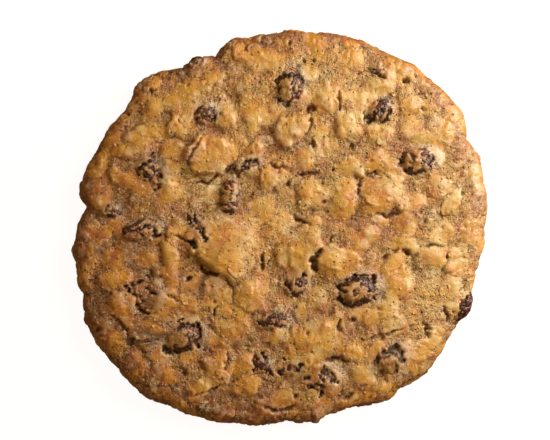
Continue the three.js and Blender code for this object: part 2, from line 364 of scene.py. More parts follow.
print("lumps:", len(plates), "covering", f"{100 * (lump_owner >= 0).mean():.0f}% of the crust")

# %% [markdown]
# ## Oats in the crust
#
# Rolled oats are flat flakes about 6 mm long, and they lie all through the dough like shingles. Most are
# glazed over, so they show as small flat facets, each tilted its own way, with a low step along its edge.
# Here they are a second pile of thin plates on the lumps. Cell noise then adds finer clods with a crease
# between neighbours.

# %% Cell noise
def cells(points, size, seed):
    """Cell noise over a plane: one dot is scattered in each square. The result is the distance to the
    nearest dot, how much farther the second nearest is, that dot's own random number, and the way from
    it."""
    place = points[:, :2] / size
    square = np.floor(place).astype(np.int64)
    nearest = np.full(len(points), 9.0)
    second = nearest.copy()
    number = np.zeros(len(points))
    way = np.zeros((len(points), 2))
    for step in np.ndindex(3, 3):
        corner = np.zeros((len(points), 3), np.int64)
        corner[:, :2] = square + step - 1
        dot = corner[:, :2] + 0.5 + 0.45 * np.stack([lattice(corner, seed), lattice(corner, seed + 1)], 1)
        away = np.hypot(*(place - dot).T)
        closer = away < nearest
        second = np.where(closer, nearest, np.minimum(second, away))
        number = np.where(closer, lattice(corner, seed + 2), number)
        way = np.where(closer[:, None], place - dot, way)
        nearest = np.where(closer, away, nearest)
    return nearest, second - nearest, number, way


farthest = cells(unrolled, 4.4, 37)[0].max()
print(f"farthest from a dot: {farthest:.2f} of a square")

# %% Oats and clods
def scattered_oats(spacing, seed, ground):
    """Thin plates for the pile: half-lengths 2 to 3.4 units, each lying at the height of the ground
    under it."""
    draw = np.random.default_rng(seed)
    oats = []
    for x, y in scattered(spacing, path_length[-1] * 0.93, seed + 1):
        level = ground[np.argmin(np.hypot(*(unrolled[:, :2] - (x, y)).T))]
        length = draw.uniform(2.0, 3.4)
        width = length * draw.uniform(0.55, 0.8)
        turn = draw.uniform(0, np.pi)
        chips = draw.uniform(0, 2 * np.pi, 2)
        rise = draw.uniform(0.08, 0.40)
        oats.append((x, y, length, width, turn, chips, rise, *draw.normal(0, 0.08, 2), level - 0.10))
    return oats


def clods(points, size, seed, step, tilt, crease, width):
    """Facets of one size: step * the cell's number, plus the cell's own slope, minus a crease along its
    border. Returns the height and how far each point is in a crease, 0 to 1."""
    nearest, border, number, away = cells(points, size, seed)
    turn = 40 * number
    slope = away[:, 0] * np.cos(turn) + away[:, 1] * np.sin(turn)
    in_crease = np.exp(-(border / width) ** 2)
    return step * (number - 0.6 * nearest ** 2) + tilt * slope - crease * in_crease, in_crease


oats = scattered_oats(4.6, 23, lumpy)
oat_points = bend(unrolled, ((0.35, 2.4), (0.08, 0.9)), 27)
shingled, oat_out, oat_owner = pile(oat_points, oats, lumpy, power=6.0, flat=0.9)
oat_number = np.append(np.random.default_rng(29).uniform(-1, 1, len(oats)), 0)[oat_owner]
middling, middling_crease = clods(bend(unrolled, ((0.5, 3.4), (0.12, 1.2)), 35), size=4.4, seed=37,
                                  step=0.08, tilt=0.14, crease=0.18, width=0.09)
small, _ = clods(bend(unrolled, ((0.28, 1.8), (0.08, 0.8)), 41), size=2.2, seed=43,
                 step=0.08, tilt=0.10, crease=0.14, width=0.12)
torn = fade_in(noise(unrolled, 4.2, 47), -0.35, 0.35)
relief = soften(shingled, 0.7) * (1 - 0.5 * rim_share) + (0.3 + 0.7 * loose) * torn * middling
relief = relief + (0.35 + 0.65 * loose + 0.45 * rim_share) * small + swell
relief = relief + 0.06 * fractal(unrolled, 2.0, 51, octaves=2, fade=0.7) * (0.6 + 0.6 * torn)
print(f"oats: {len(oats)}, relief: {relief.min():.1f} to {relief.max():.1f}")

# %% [markdown]
# ## Cracks and pits
#
# Steam leaves pores and short tears between the lumps. The larger tears follow listed lines. Each
# is widest in its middle and thins out to its ends, and its edges fray because the points are bent first.
# Small pores come from cell noise: each chosen cell's dot is a hole of its own size.

# %% Listed cracks and pits
CRACKS = [  # depth, half-width, then the points of the line
    (2.0, 0.60, (-21.2, -9.8), (-19.4, -11.9), (-15.4, -12.1)),
    (1.8, 0.55, (-4.3, -6.6), (-4.8, -9.4), (-4.2, -11.8)),
    (0.7, 0.25, (-14.4, -12.8), (-12.4, -15.2), (-11.8, -19.4)),
    (2.2, 0.70, (11.4, -5.2), (9.2, -7.2), (8.5, -9.0), (9.9, -12.0)),
    (1.0, 0.40, (-29.4, -1.4), (-25.6, -2.4), (-23.0, -4.2), (-21.2, -8.6)),
    (1.4, 0.45, (-24.5, 11.6), (-19.0, 12.0), (-15.5, 14.6)),
    (1.3, 0.55, (-15.5, 14.8), (-11.0, 14.4), (-5.4, 17.4)),
    (1.2, 0.40, (-3.4, 17.8), (0.4, 15.6), (4.0, 15.0)), (1.3, 0.40, (4.4, 14.2), (10.6, 14.2)),
    (1.2, 0.35, (21.9, 13.4), (20.7, 10.5), (21.6, 6.8)),
    (1.2, 0.35, (21.9, 13.6), (25.5, 14.7), (29.6, 13.0)),
    (1.2, 0.35, (25.0, 4.2), (29.0, 3.1), (32.6, 4.2)), (1.1, 0.40, (2.6, 4.8), (5.0, 2.2), (8.4, 0.4)),
    (1.1, 0.40, (20.5, -30.2), (26.0, -29.0), (30.4, -27.4), (33.6, -25.4)),
    (1.3, 0.45, (11.4, -35.2), (14.4, -34.2), (18.0, -35.4)),
    (1.0, 0.40, (16.4, -22.6), (15.6, -25.6), (17.4, -29.0)),
    (1.2, 0.50, (-4.4, -47.0), (0.0, -48.8), (4.6, -47.2)),
    (1.2, 0.70, (38.0, -24.6), (39.4, -27.0), (39.2, -29.6)), (1.9, 0.60, (32.2, -6.1), (35.4, -7.0)),
    (1.2, 0.40, (29.6, -6.1), (31.4, -6.8)), (1.1, 0.40, (26.8, -8.1), (28.6, -7.4)),
    (1.4, 0.40, (-37.0, 35.3), (-32.0, 37.1)), (1.2, 0.30, (23.8, 41.9), (26.0, 41.0), (28.0, 39.0)),
    (1.1, 0.40, (-44.0, -23.0), (-41.6, -26.2), (-39.6, -28.4)),
    (1.0, 0.40, (-38.6, -15.4), (-38.4, -19.2), (-36.2, -22.2), (-33.8, -23.2)),
    (0.9, 0.30, (-36.4, -15.5), (-32.4, -17.6)), (0.9, 0.35, (-30.0, -16.8), (-26.0, -19.0)),
    (1.1, 0.40, (15.7, 36.4), (16.2, 30.4)), (1.2, 0.40, (-34.2, -10.4), (-33.2, -13.8)),
    (0.7, 0.25, (48.5, 15.8), (48.6, 8.0), (47.4, 0.4)),
    (1.1, 0.50, (16.4, -46.0), (18.2, -44.4), (20.0, -44.0)),
    (0.9, 0.30, (-17.8, -18.2), (-16.2, -20.6), (-17.2, -23.8)),
    (1.0, 0.35, (-14.4, -31.6), (-13.6, -35.0), (-14.6, -38.6)),
    (0.9, 0.30, (-23.0, -44.6), (-18.0, -42.8), (-14.8, -41.0)),
    (0.9, 0.30, (8.6, 30.6), (8.2, 27.0), (6.0, 22.8)), (0.9, 0.30, (21.6, 31.0), (23.0, 26.6)),
    (0.8, 0.30, (36.6, -4.6), (44.4, -4.8)), (1.2, 0.35, (43.8, -20.6), (44.0, -22.6), (45.4, -24.8)),
    (1.0, 0.30, (45.9, -21.4), (46.6, -22.8)), (1.0, 0.30, (46.2, -24.4), (47.8, -24.6)),
    (0.9, 0.30, (44.6, -5.2), (44.4, -9.4), (42.8, -11.4)),
    (1.0, 0.35, (-20.0, 24.6), (-23.6, 18.0), (-23.2, 13.4)),
]
PITS = [  # middle x, y, radius
    (8.8, 22.2, 1.1), (19.0, 21.2, 0.8), (33.5, 38.9, 1.0), (36.2, 40.5, 0.7), (6.8, 43.9, 0.6),
    (9.0, 44.5, 0.6), (21.1, 40.8, 0.6), (2.5, 48.5, 0.7), (2.5, 11.5, 0.8), (11.8, 6.4, 0.8),
    (37.8, 31.4, 0.7), (14.3, 15.6, 0.7), (-40.0, 30.2, 0.7), (-48.7, -27.0, 0.9), (-25.3, -38.0, 0.9),
    (-24.0, -13.7, 1.0), (4.2, -44.6, 0.8), (28.5, -40.3, 0.7), (19.6, -24.0, 0.8), (-23.0, -4.0, 0.9),
    (8.5, 31.3, 1.2), (-39.4, -29.3, 0.9), (13.5, -2.8, 0.6), (28.0, -7.6, 0.6), (15.8, -25.8, 0.6),
    (-43.4, -24.4, 0.6), (7.3, -27.6, 0.6),
]
print(f"cracks: {len(CRACKS)}, pits: {len(PITS)}")

# %% Tearing the crust
def distance_to_line(points, line):
    """Distance from each point to a line of points, and how far along the whole line the nearest place
    is."""
    line = np.array(line)
    runs = np.diff(line, axis=0)
    lengths = np.hypot(*runs.T)
    before = np.concatenate([[0], np.cumsum(lengths)])
    best, share_along = np.full(len(points), 1e3), np.zeros(len(points))
    for start, run, length, gone in zip(line, runs, lengths, before):
        at = np.clip((points[:, :2] - start) @ run / length ** 2, 0, 1)
        away = np.hypot(*(points[:, :2] - start - at[:, None] * run).T)
        closer = away < best
        best = np.where(closer, away, best)
        share_along = np.where(closer, (gone + at * length) / before[-1], share_along)
    return best, share_along


tears = np.zeros(len(unrolled))
crack_points = bend(unrolled, ((0.8, 4.0), (0.45, 1.6), (0.25, 0.8)), 65)
uneven = 1 + 0.5 * noise(unrolled, 1.6, 67) + 0.6 * noise(unrolled, 0.8, 68)
for depth, half_width, *line in CRACKS:
    away, share_along = distance_to_line(crack_points, line)
    taper = np.sqrt(np.maximum(1 - (2 * share_along - 1) ** 2, 0)) * uneven
    tears = np.maximum(tears, depth * taper * fade_in(away, 1.7 * half_width * taper + 0.01, 0))
for x, y, size in PITS:
    pit_away = np.hypot(*(crack_points[:, :2] - (x, y)).T)
    tears = np.maximum(tears, 1.5 * size * uneven * fade_in(pit_away, 1.2 * size, 0.2 * size))

pore_far, _, pore_number, _ = cells(bend(unrolled, ((0.5, 1.1),), 71), 1.7, 73)
pores = fade_in(pore_far, 0.20 + 0.14 * pore_number, 0.05) * (pore_number > 0.9 - 1.3 * loose)
creases = loose * middling_crease * torn
rim_crackle = rim_share * fade_in(noise(unrolled, 6.0, 75), -0.5, 0.3) * middling_crease
relief = relief - tears - 0.35 * pores - 0.35 * rim_crackle
print(f"deepest tear: {tears.max():.1f}, pores over {100 * (pores > 0.5).mean():.1f}% of the crust")

# %% [markdown]
# ## Raisins in the dough
#
# Each raisin of the frame is an ellipsoid: its middle, its axes and its half sizes are found from its
# vertices. Dough clings to most of it, so the crust lies close over the raisin and is torn open along a few
# strokes, where it sinks below the skin. The strokes are listed one by one, because each raisin shows
# differently.

# %% Where the raisins are
def ellipsoid_of(name):
    """Middle, axes and half sizes of a raisin: the directions in which its vertices spread the most."""
    points = node_points(name)
    low, high = points.min(0), points.max(0)
    middle = (low + high) / 2
    axes = np.linalg.svd(points - middle, full_matrices=False)[2]
    upright = np.argmax(np.abs(axes[:, 2]))
    order = [i for i in range(3) if i != upright] + [upright]
    axes = axes[order]
    axes[2] *= np.sign(axes[2, 2])
    axes[1] = np.cross(axes[2], axes[0])
    return middle, axes, np.abs((points - middle) @ axes.T).max(0)


raisin_seats = {name: ellipsoid_of(name) for name in RAISINS}
print("largest raisin:", max(2 * seat[2][0] for seat in raisin_seats.values()).round(1), "units long")

# %% Listed bare skin
SKIN = {  # bare skin of a raisin: strokes of a half-width, then points from the raisin's middle
    "raisin_01": [
        (0.75, (-3.3, 2.4), (-1.3, 3.7), (0.3, 4.1), (1.6, 4.3)),
        (0.5, (-2.7, -2.7), (-1.4, -3.6), (-0.3, -4.0)),
        (0.6, (1.8, 4.0), (1.1, 2.3), (0.8, 0.4), (0.9, -1.1), (0.4, -2.6), (-0.8, -3.7)),
        (0.7, (2.5, 3.6), (2.9, 1.6), (2.6, -0.4), (1.9, -1.8)), (0.45, (-2.7, 0.5), (-2.9, -0.5)),
    ],
    "raisin_02": [
        (1.0, (-2.0, 0.6), (-0.6, 1.0), (1.0, 1.1), (2.0, 0.6)),
        (0.45, (0.3, -1.3), (1.4, -1.7), (2.4, -1.1)),
        (0.9, (-2.3, -1.2), (-0.8, -0.4), (0.9, -0.2), (1.9, -0.4)),
    ],
    "raisin_03": [
        (1.05, (-2.6, -2.0), (-1.0, -0.7), (0.6, 0.2), (1.7, 0.6)),
        (0.6, (-0.6, 0.8), (0.2, 1.8), (1.2, 2.4)),
        (0.5, (0.0, -2.0), (1.4, -2.3), (2.2, -1.3), (2.9, 0.5)),
    ],
    "raisin_04": [
        (0.6, (-4.3, -0.8), (-4.2, 0.8), (-3.3, 1.9), (-2.0, 2.1), (-0.8, 1.2)),
        (0.35, (1.0, 0.8), (1.5, 0.0), (1.2, -1.4)),
        (0.6, (-3.3, -2.5), (-1.6, -3.1), (0.0, -3.1), (1.4, -2.5)),
        (1.1, (2.2, 1.6), (3.2, 1.4), (3.8, 0.2), (3.2, -1.2)),
    ],
    "raisin_05": [
        (0.65, (-3.3, 0.5), (-2.2, 0.7), (-1.3, 1.6), (0.1, 2.2), (0.9, 3.0)),
        (0.8, (-0.9, -1.3), (0.2, -2.0)), (0.5, (-0.3, 0.5), (0.8, 0.4), (2.0, -0.4), (3.2, -1.9)),
        (0.4, (2.5, -3.8), (1.5, -5.2)), (0.3, (0.1, 3.8), (0.8, 4.5)),
    ],
    "raisin_06": [
        (0.45, (-1.2, 4.3), (-0.9, 2.6)), (0.45, (0.5, 4.0), (0.6, 2.2), (0.2, 0.6), (0.0, -1.2)),
        (0.45, (-1.3, -1.6), (0.0, -1.8), (1.1, -1.8)), (0.6, (-1.3, -3.0), (-0.4, -3.5), (0.8, -3.0)),
    ],
    "raisin_07": [
        (0.4, (-4.6, -0.9), (-3.0, 0.4), (-1.4, 1.6), (0.2, 2.5)),
        (0.6, (-3.0, -0.7), (-1.4, -0.5), (0.2, 0.6), (1.6, 0.8)),
        (0.5, (1.6, 0.8), (3.0, 0.8), (3.8, -0.4)), (0.5, (3.8, -0.6), (4.0, -1.8), (4.7, -1.4)),
    ],
    "raisin_08": [
        (0.6, (1.7, -0.2), (2.2, -0.5)), (0.65, (0.5, -1.0), (1.2, -1.6)),
        (0.45, (-1.1, -1.1), (0.4, -1.2)), (0.45, (-1.2, 0.9), (-0.3, 1.5)),
        (0.7, (-0.6, 0.2), (0.6, -0.1)),
    ],
    "raisin_09": [
        (0.8, (-4.6, 0.8), (-3.2, 1.8), (-1.2, 3.1), (1.2, 3.2), (2.9, 2.3)),
        (0.3, (-1.6, 3.6), (0.0, 4.3), (2.4, 4.1), (4.2, 3.9)),
        (0.75, (3.0, 2.8), (3.3, 1.0), (3.0, -0.4), (2.4, -1.2)),
        (0.55, (4.3, 3.6), (4.5, 1.8), (4.1, 0.0)),
        (0.65, (-5.2, -1.9), (-3.8, -3.2), (-1.8, -3.9), (0.2, -3.5), (1.7, -3.2), (2.5, -2.4)),
        (0.4, (-3.8, 0.0), (-3.4, -0.3)), (0.45, (-0.9, 0.1), (-0.4, -0.3)),
        (0.35, (4.6, -1.9), (4.8, -2.4)),
    ],
    "raisin_10": [
        (0.7, (-1.7, 2.1), (-0.6, 2.9), (0.6, 3.2), (1.9, 2.8)),
        (0.75, (3.0, 3.2), (3.8, 2.2), (4.0, 0.6), (3.3, -0.9), (2.3, -1.3)),
        (0.4, (2.6, 2.4), (2.4, 0.4), (1.8, -0.8), (1.2, -2.1), (0.4, -3.1), (-0.8, -3.7)),
        (0.45, (3.7, -2.0), (4.1, -2.5)),
        (0.75, (-5.2, -2.8), (-4.0, -3.6), (-2.3, -4.1), (-0.8, -3.9), (0.6, -3.4), (1.6, -2.6)),
        (0.3, (-1.6, 4.1), (-0.2, 4.6)),
    ],
    "raisin_11": [
        (0.95, (-2.4, -0.9), (-0.6, -0.4), (1.4, 0.2)), (0.65, (-0.9, 0.7), (1.0, 1.2), (2.2, 0.8)),
        (0.5, (2.7, 0.5), (3.4, 1.5)), (0.5, (-4.1, -0.5), (-3.2, -1.5), (-1.8, -1.5)),
        (0.45, (0.1, -1.4), (1.8, -1.6)),
    ],
    "raisin_12": [
        (0.7, (2.0, 2.6), (1.5, 1.6), (0.5, 1.2)), (0.8, (1.9, 0.8), (0.4, 0.5)),
        (0.5, (-2.7, 0.5), (-1.6, -0.2)), (0.5, (-2.0, -0.5), (-1.0, -1.6), (-0.2, -2.9)),
    ],
    "raisin_13": [
        (0.75, (-3.5, -1.1), (-3.1, 0.2), (-2.0, 1.0), (-1.6, 2.5)),
        (0.6, (-1.6, 0.6), (0.2, 1.7), (1.8, 1.5), (2.5, 0.2)),
        (0.7, (-1.6, 2.5), (-0.5, 2.1), (1.0, 3.2), (2.1, 3.2), (3.3, 2.1), (3.1, 0.6), (3.7, -0.5)),
        (0.45, (1.6, -0.2), (1.8, -1.7), (2.0, -3.2)),
    ],
    "raisin_14": [
        (0.5, (-0.2, 2.3), (-0.8, 0.8), (0.3, -0.9)),
        (0.55, (0.6, 2.3), (2.0, 1.6), (2.8, 0.2), (3.4, -1.2)), (0.6, (0.6, 1.0), (1.8, 0.0), (2.2, -0.6)),
        (0.5, (-2.2, -1.4), (-0.8, -1.8), (0.2, -2.4)), (0.6, (-3.4, -2.0), (-2.0, -3.2)),
        (0.4, (-4.6, 0.0), (-3.4, -0.3)), (0.35, (-0.4, -3.4), (-0.5, -4.8)),
    ],
    "raisin_15": [
        (0.9, (-3.5, 0.3), (-3.3, -0.7)), (0.4, (-4.1, 2.2), (-3.8, 1.0)),
        (0.5, (-1.4, -0.1), (0.8, -0.4), (2.2, -0.1), (3.7, 0.0)),
    ],
    "raisin_16": [
        (0.9, (-1.8, 1.5), (-0.8, 0.6), (0.2, -0.3)),
        (0.8, (0.8, 1.8), (0.8, 0.0), (1.6, -1.4), (2.2, -2.0)), (0.35, (-2.3, -1.3), (-0.8, -0.4)),
        (0.4, (0.4, 3.4), (0.6, 2.0)),
    ],
    "raisin_17": [
        (0.6, (-0.4, 0.6), (1.0, 0.6), (2.0, -0.3)), (0.6, (2.5, 1.1), (3.2, 1.3)),
        (0.55, (-3.2, -0.1), (-2.6, -1.2)), (0.3, (-2.5, 3.2), (-1.5, 2.6)),
    ],
    "raisin_18": [
        (0.3, (-2.4, 2.4), (-1.0, 1.8), (0.2, 0.8), (1.2, -0.6), (1.9, -0.7)),
        (0.75, (0.4, -0.6), (1.4, -2.0), (2.3, -3.3)), (0.9, (-1.2, -4.0), (-0.8, -4.9)),
        (0.4, (-2.2, -3.6), (-1.0, -4.2)),
    ],
    "raisin_19": [
        (0.28, (-4.5, 2.0), (-4.0, 0.2), (-3.1, -1.6), (-2.1, -3.2), (-0.8, -4.4), (0.8, -4.7)),
        (0.5, (-5.8, 2.6), (-5.2, 2.5)), (0.35, (-4.0, 2.9), (-2.6, 3.2), (-1.0, 4.0)),
        (0.35, (0.4, 5.4), (1.0, 4.2)), (0.3, (0.0, 2.0), (1.2, 0.9), (2.6, 0.3)),
        (0.4, (-1.4, 0.0), (-1.0, -2.0)),
    ],
    "raisin_20": [
        (0.35, (-2.0, 1.2), (-0.6, 0.8), (1.0, 0.5)), (0.35, (-0.8, 0.1), (0.2, -0.2), (1.5, -1.3)),
    ],
    "raisin_21": [
        (0.35, (-2.0, 0.1), (-0.6, 0.7), (0.4, 1.0)), (0.8, (0.2, 0.3), (1.0, 0.4)),
        (0.35, (-0.8, -0.4), (0.8, -0.3), (1.5, 0.1)),
    ],
    "raisin_22": [
        (0.9, (-2.8, -0.6), (-1.6, -0.3)), (0.75, (0.4, 0.4), (2.4, 1.0)),
        (0.4, (-4.0, -0.8), (-2.8, -1.0)), (0.35, (2.8, 0.8), (4.2, 1.6)),
    ],
}
print("strokes of bare skin:", sum(map(len, SKIN.values())))

# %% [markdown]
# A Boolean cut would leave a clean hole round each raisin, but dough that baked against it has risen over
# its edge. So the crust is lifted to lie just over the raisin's top and pressed down along the strokes. The
# same loop marks where the skin is bare and where juice stained the dough, and it paints a highlight: paler
# dough beside each raisin, on the side that faces the key light.

# %% The dough round the raisins
REACH = 8.0
DOUGH_OVER_RAISIN = 0.20
SUNK_BELOW_SKIN = 0.40
DEEPEST_STROKE = 1.4


def in_strokes(points, strokes, ragged):
    """How much each point is inside any of the strokes, from 0 to 1, with a ragged edge."""
    inside = np.zeros(len(points))
    for half_width, *line in strokes:
        away, _ = distance_to_line(points, line)
        inside = np.maximum(inside, fade_in(away / half_width + ragged, 1.05, 0.65))
    return inside


surface = base + facing * relief[:, None]
skin, stain, pale = np.zeros((3, len(surface)))
near_raisin = bend(unrolled, ((0.5, 2.0), (0.35, 0.9)), 81)
fine_relief = relief - soften(relief, 3.0)
ragged = 0.9 * noise(unrolled, 1.2, 83)
flecked = fade_in(noise(unrolled, 0.9, 87), 0.15, 0.40)
for name, strokes in SKIN.items():
    middle, axes, half = raisin_seats[name]
    near = np.flatnonzero(np.abs(unrolled[:, :2] - middle[:2]).max(1) < REACH)
    away = near_raisin[near, :2] - middle[:2]
    out = np.hypot(away @ axes[0, :2] / half[0], away @ axes[1, :2] / half[1])
    bare = in_strokes(away, strokes, ragged[near]) * (1 - 0.8 * flecked[near])
    raisin_top = middle[2] + half[2] * np.sqrt(np.maximum(1 - out ** 2, 0))
    inside = fade_in(out, 1.08, 0.86)
    texture = 0.8 * fine_relief[near] + 0.25 * noise(near_raisin[near], 1.3, 89)
    height = surface[near, 2]
    covered = height + inside * np.maximum(raisin_top + DOUGH_OVER_RAISIN + texture - height, 0)
    sunk = np.clip(raisin_top - SUNK_BELOW_SKIN - covered, -DEEPEST_STROKE, 0)
    surface[near, 2] = covered + bare * sunk
    skin[near] = np.maximum(skin[near], bare)
    stain[near] = np.maximum(stain[near], fade_in(out, 1.3, 0.8))
    # Painted highlight: beside the raisin, on the side that faces the key light, the dough is painted paler.
    facing_key = np.clip(away @ (0.9, 0.4) / (np.hypot(*away.T) + 0.5), 0, 1)
    lit_beside = fade_in(out, 1.55, 1.15) * fade_in(out, 0.7, 1.0) * facing_key * (1 - bare)
    pale[near] = np.maximum(pale[near], lit_beside)
print("raisins seated:", len(SKIN))

# %% [markdown]
# ## Masks for the crust's colour
#
# An oven browns what stands out, so the tops of lumps are golden to orange. Hollows, creases and tears are
# painted darker and greyer, as painted shade. The rim is the brownest, but its right side and the whole side
# of the cookie towards the key light are painted paler, the far side browner, and ridges and the right rim
# get a painted cream highlight. The surface knows its own hollows: a copy of the relief is softened, and
# where the surface is lower than the copy, there is a hollow. Places that baked longer or stayed paler are
# listed one by one. Each mask is stored on the mesh as an attribute, so it goes with the mesh wherever the
# mesh goes.

# %% Places that baked longer
BROWNED = [  # middle x, y, radius, how much more toast: places that baked longer, or stayed paler
    (24, 1, 9, 0.42), (1, 18, 7, 0.34), (29, 18, 6, 0.20), (-31, -30, 7, 0.30), (20, -23, 6, 0.30),
    (-26, -15, 6, 0.22), (-38, -9, 6, 0.18), (-20, 10, 6, -0.36), (41, -12, 7, -0.30), (-10, -11, 5, -0.14),
    (16, 42, 8, -0.14), (-9, 3, 6, 0.26), (38, -36, 10, -0.22), (-44, 28, 10, -0.40), (46, -18, 8, -0.24),
    (-12, 33, 7, -0.16), (-28, -8, 5, -0.10),
]
browned = sum(more * np.exp(-np.sum(((unrolled[:, :2] - (x, y)) / size) ** 2, 1))
              for x, y, size, more in BROWNED)
print(f"places chosen: {len(BROWNED)}, toast added: {browned.min():.2f} to {browned.max():.2f}")

# %% Masks
final_relief = np.sum((surface - base) * facing, axis=1)
fine_hollow = soften(final_relief, 1.6) - final_relief
wide_hollow = soften(final_relief, 7.0) - final_relief
lump_draw = np.random.default_rng(91).uniform(-1, 1, len(plates) + 1)
# Painted light: the side of the cookie towards the key light is painted paler, and the far side browner.
pale_side = unrolled[:, :2] @ (0.85, 0.5) / MEAN_RADIUS
far_pale_side = np.maximum(pale_side, 0)
golden_places = noise(bend(unrolled, ((1.5, 4.0),), 93), 7.0, 95) + 0.7 * noise(unrolled, 3.4, 96)
pale_places = fade_in(-golden_places, 0.15, 0.75) * (0.3 + 0.7 * on_lump)
# Painted shade: hollows, creases and tears are painted darker.
hollow_shade = 2.1 * fine_hollow - 0.08 + 0.30 * wide_hollow + 0.35 * tears + 0.35 * creases
golden = fade_in(golden_places + 0.15 * on_lump - 0.4 * wide_hollow, 0.0, 0.6)
# In the toast, the rim is browner but less so at its right side, and the side towards the key light is paler:
# painted light.
toast = (0.40 - 0.08 * on_lump + 0.10 * lump_draw[lump_owner] + 0.10 * oat_number
         + 0.28 * fractal(unrolled, 9.0, 97, octaves=3) + rim_share * (0.42 - 0.22 * direction[:, 0])
         - 0.32 * pale_side + 0.16 * far_pale_side + browned + 0.16 * (share - 0.6))
bare_oat = 0.6 * fade_in(oat_number, 0.5, 0.8) * fade_in(oat_out, 1.0, 0.8)
# Besides pale oat flakes and pale places, this mask paints highlights: cream on ridges and on the right rim.
oat_and_highlight = (bare_oat + 0.7 * pale_places - 2.0 * fine_hollow * (1 - 0.5 * rim_share)
       - 0.05 + 0.45 * rim_share * fade_in(direction[:, 0], 0.6, 0.95))
# Besides open dough, this mask paints wide hollows greyer as painted shade, and the side towards the key
# light less grey as painted light.
open_dough_and_shade = (0.85 * loose + 0.8 * wide_hollow + 0.4 * noise(unrolled, 8.0, 99) - 0.15 * rim_share
              - 0.40 * far_pale_side)
masks = {"hollow_shade": hollow_shade, "golden": golden, "toast": toast, "oat_and_highlight": oat_and_highlight, "open_and_shade": open_dough_and_shade,
         "stain": stain * (1 - pale), "pale": pale, "skin": skin}
masks = {name: np.clip(mask, 0, 1) for name, mask in masks.items()}
print({name: round(float(mask.mean()), 2) for name, mask in masks.items()})

# %% [markdown]
# ## The crust as one closed mesh
#
# The grid's faces carry the top and the rim. Its last ring already lies under the cookie, so a few
# shrinking copies of that ring and a point in the middle close the flat base. The base is slightly rough,
# as it is after baking on a sheet, but never below the table.

# %% Helpers for meshes
def new_mesh(name, points, faces):
    """A mesh object from points in map units and a list or array of faces, smooth shaded, at the origin."""
    mesh = bpy.data.meshes.new(name)
    mesh.from_pydata((np.asarray(points) * UNIT).tolist(), [], [list(face) for face in faces])
    mesh.polygons.foreach_set("use_smooth", np.full(len(mesh.polygons), True))
    mesh.update()
    made = bpy.data.objects.new(name, mesh)
    bpy.context.scene.collection.objects.link(made)
    return made


def add_masks(made, values):
    """Store each mask as one number at each vertex."""
    for name, mask in values.items():
        attribute = made.data.attributes.new(name, "FLOAT", "POINT")
        attribute.data.foreach_set("value", np.asarray(mask, np.float32))


def border_ring(squares):
    """The grid's outer points in order, walking round the square counterclockwise."""
    index = np.arange((squares + 1) ** 2).reshape(squares + 1, squares + 1)
    return np.concatenate([index[0, :-1], index[:-1, -1], index[-1, :0:-1], index[:0:-1, 0]])


def grid_faces(squares):
    """Faces of the square grid, four corners each, counterclockwise from above."""
    index = np.arange((squares + 1) ** 2).reshape(squares + 1, squares + 1)
    return np.stack([index[:-1, :-1], index[:-1, 1:], index[1:, 1:], index[1:, :-1]], -1).reshape(-1, 4)


def ring_faces(outer, inner):
    """Faces between two rings of the same number of points, facing down when outer runs
    counterclockwise."""
    return np.stack([outer, inner, np.roll(inner, -1), np.roll(outer, -1)], 1)


print("points round the edge of the grid:", len(border_ring(SQUARES)))

# %% Build the crust
BASE_RINGS = (0.985, 0.93, 0.82, 0.66, 0.48, 0.30, 0.12)
BASE_ROUGHNESS = 0.12
ring = border_ring(SQUARES)
surface[:, 2] = np.maximum(surface[:, 2], 0.0)
edge = surface[ring]
edge[:, 2] = 0
surface[ring] = edge
points, faces = [surface], [grid_faces(SQUARES)]
last = ring
for step in BASE_RINGS:
    level = edge * step
    if step < BASE_RINGS[0]:
        level[:, 2] = BASE_ROUGHNESS + BASE_ROUGHNESS * noise(level, 3.0, 95)
    index = sum(map(len, points)) + np.arange(len(ring))
    points.append(level)
    faces.append(ring_faces(last, index))
    last = index
points.append(np.array([[0.0, 0.0, 0.1]]))
centre = sum(map(len, points)) - 1
fan = [(a, centre, b) for a, b in zip(last, np.roll(last, -1))]
crust = new_mesh("crust", np.vstack(points), [*np.vstack(faces), *fan])
extra = sum(map(len, points)) - len(surface)
under = dict.fromkeys(masks, 0.0) | {"hollow_shade": 0.1, "golden": 0.2, "toast": 0.95, "open_and_shade": 0.5}
add_masks(crust, {name: np.concatenate([mask, np.full(extra, under[name])]) for name, mask in masks.items()})
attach(crust, "root")
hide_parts("dough")
print("crust:", len(crust.data.polygons), "faces")

# %% [markdown]
# ## A wrinkled raisin
#
# A grape dries to a bag of skin: rounded folds with narrow creases between them, mostly along its length.
# On a sphere of grid points the folds are the square root of the size of a noise. It is zero along
# wandering lines, which gives the sharp creases, and round between them. The sphere is then stretched to
# the frame's ellipsoid.

# %% A ball and its folds
RAISIN_ROUND, RAISIN_LONG = 72, 44


def closed_rings(rings, around):
    """Faces of a shape of rings of points with one more point past the first ring and one past the last:
    four corners between neighbouring rings, and a fan of triangles at each end."""
    index = np.arange(rings * around).reshape(rings, around)
    beside = np.roll(index, -1, axis=1)
    sides = np.stack([index[:-1], index[1:], beside[1:], beside[:-1]], -1).reshape(-1, 4)
    first_end = [(index.size, a, b) for a, b in zip(index[0], beside[0])]
    last_end = [(index.size + 1, b, a) for a, b in zip(index[-1], beside[-1])]
    return [*sides, *first_end, *last_end]


def ball(around, rows):
    """A unit sphere of rings round the X axis with a point at each end, and its faces facing out."""
    turn = np.linspace(0, 2 * np.pi, around, endpoint=False)
    slide = np.linspace(0, np.pi, rows + 1)[1:-1]
    slide_grid, turn_grid = np.meshgrid(slide, turn, indexing="ij")
    middle = np.stack([np.cos(slide_grid), np.sin(slide_grid) * np.cos(turn_grid),
                       np.sin(slide_grid) * np.sin(turn_grid)], -1).reshape(-1, 3)
    return np.vstack([middle, [[1, 0, 0], [-1, 0, 0]]]), closed_rings(rows - 1, around)


